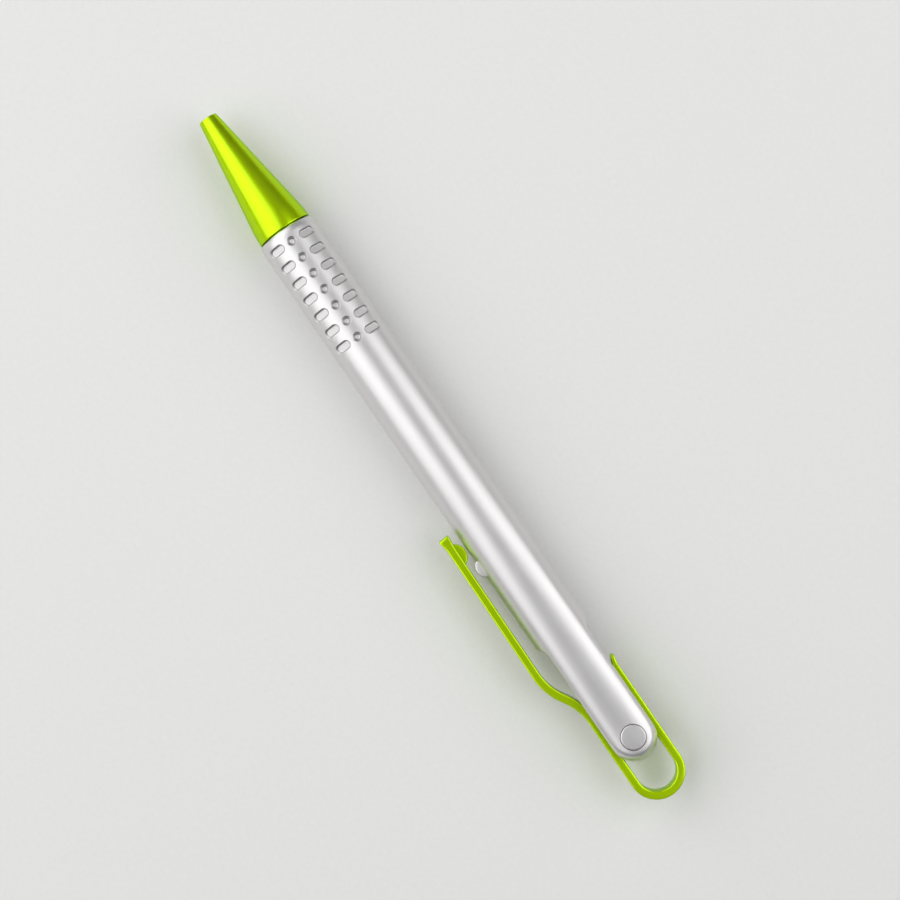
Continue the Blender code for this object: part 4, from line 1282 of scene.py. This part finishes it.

# %% [markdown]
# ## The return spring
# The spring is one round wire, wound with a close turn at each end. Its middle line is a helix, and a
# small circle is carried along it. When the button is pressed the refill squeezes the spring towards its
# seat in the nose. The spring's object then gets a mesh of its own.

# %% The return spring
SPRING_FRONT, SPRING_REAR = along_pen("return_spring")
spring_length = SPRING_REAR - SPRING_FRONT
WIRE_RADIUS = 0.2 * MM
COIL_RADIUS = 1.9 * MM
COIL_TURNS = 9
END_PITCH = 0.95 * MM
TURN_POINTS = 48
WIRE_POINTS = 16


def drawn_wire(slot):
    paint = Paint(slot)
    drawn = paint.grain(0.12 * MM, detail=2)
    paint.set(
        Base_Color=paint.mix(drawn, (0.46, 0.46, 0.48), (0.64, 0.64, 0.66)),
        Metallic=1.0,
        Roughness=0.2 + 0.14 * drawn,
        Normal=paint.bump(drawn, 0.004 * MM),
    )


def coil():
    """The wire's skin along a helix whose first and last turn lie close."""
    turns = np.linspace(0, COIL_TURNS, COIL_TURNS * TURN_POINTS + 1)
    middle_pitch = (spring_length - 2 * WIRE_RADIUS - 2 * END_PITCH) / (COIL_TURNS - 2)
    first = np.minimum(turns, 1) * END_PITCH
    middle = np.clip(turns - 1, 0, COIL_TURNS - 2) * middle_pitch
    last = np.maximum(turns - COIL_TURNS + 1, 0) * END_PITCH
    angle = math.tau * turns
    outward = np.column_stack([np.zeros_like(angle), np.cos(angle), np.sin(angle)])
    centre = COIL_RADIUS * outward
    centre[:, 0] = SPRING_FRONT + WIRE_RADIUS + first + middle + last
    aside = np.cross(unit(np.gradient(centre, axis=0)), outward)
    around = full_turn(WIRE_POINTS)[None, :, None]
    section = np.cos(around) * outward[:, None] + np.sin(around) * aside[:, None]
    return skin("coil", centre[:, None] + WIRE_RADIUS * section)


drawn_wire("spring_steel")
spring = settle("wound_spring", coil(), "nose", "spring_steel", "return_spring")
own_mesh(spring)
print(f"the spring squeezes by {TRAVEL / MM:.1f} of its {spring_length / MM:.1f} mm")

# %% [markdown]
# ## Floor and light
# The pen lies on a plain pale table. Two large soft lamps stand to the left and right of the picture and
# leave the sky above darker: that gap is the grey band along the middle of the barrel. Both lamps stand
# nearer to the nose than to the tail, so the walls of the dimples that face the tail stay dark. The world
# fills the shadows with grey, brighter overhead than at the horizon. The levels are set so that the
# bright bands on the silver stop just short of white.

# %% Floor and light
VIEW_TURN = math.radians(55.46)
LAMP_DISTANCE = 0.6
LAMP_LEAN = math.radians(46)
LEFT_LAMP = {"side": -1, "depth": 0.76, "length": 1.3, "up": 0.2, "radiance": 1.62}
RIGHT_LAMP = {"side": 1, "depth": 0.62, "length": 0.64, "up": 0.12, "radiance": 1.7}
OVERHEAD_GREY = 0.22
HORIZON_GREY = 0.12
FLOOR_HALF = 3.0
picture_right = Vector((math.cos(VIEW_TURN), math.sin(VIEW_TURN), 0))
picture_up = Vector((-math.sin(VIEW_TURN), math.cos(VIEW_TURN), 0))


def soft_lamp(name, side, depth, length, up, radiance):
    """A large lamp to one side of the picture, facing the pen."""
    light = bpy.data.lights.new(name, "AREA")
    light.shape = "RECTANGLE"
    light.size = depth
    light.size_y = length
    light.energy = radiance * math.pi * depth * length
    lamp = shown(name, light)
    back = side * math.sin(LAMP_LEAN) * picture_right + math.cos(LAMP_LEAN) * Vector((0, 0, 1))
    lamp.matrix_world = Matrix((picture_up.cross(back), picture_up, back)).transposed().to_4x4()
    lamp.location = LAMP_DISTANCE * back + up * picture_up
    lamp.visible_camera = False


soft_lamp("left_lamp", **LEFT_LAMP)
soft_lamp("right_lamp", **RIGHT_LAMP)

world = bpy.data.worlds.new("studio")
world.use_nodes = True
sky = Nodes(world.node_tree)
height = sky.node("SeparateXYZ", {}, {0: sky.node("TexCoord", {}, {}, "Generated")}, "Z")
greys = {"Value": height, "To Min": HORIZON_GREY, "To Max": OVERHEAD_GREY}
sky.fill(sky.tree.nodes["Background"], {"Color": sky.node("MapRange", {}, greys)})
bpy.context.scene.world = world

paint = Paint("pale_table")
fibre = paint.grain(0.8 * MM, detail=3)
paint.set(
    Base_Color=paint.mix(fibre, (0.77, 0.77, 0.76), (0.82, 0.82, 0.81)),
    Roughness=0.85 + 0.1 * fibre,
)
floor_mesh = bpy.data.meshes.new("table")
floor_corners = [(x * FLOOR_HALF, y * FLOOR_HALF, 0) for x, y in ((-1, -1), (1, -1), (1, 1), (-1, 1))]
floor_mesh.from_pydata(floor_corners, [], [(0, 1, 2, 3)])
floor_mesh.materials.append(finishes["pale_table"])
table = shown("table", floor_mesh)
print("two lamps, a grey sky and a pale table")

# %% [markdown]
# ## The camera
# The photograph was taken from straight above with a moderately long lens, so the pen hardly tapers. The
# camera is turned about the vertical until the pen lies across the picture from the nose at the top to
# the tail at the bottom.

# %% The camera
CAMERA_PLACE = (0.0001, 0.0036, 0.3462)
CAMERA_LENS = 80
CAMERA_SENSOR = 36

camera_data = bpy.data.cameras.new("camera")
camera_data.lens = CAMERA_LENS
camera_data.sensor_width = CAMERA_SENSOR
camera = shown("camera", camera_data)
camera.location = CAMERA_PLACE
camera.rotation_euler = (0, 0, VIEW_TURN)
bpy.context.scene.camera = camera
bpy.context.scene.view_settings.view_transform = "Standard"
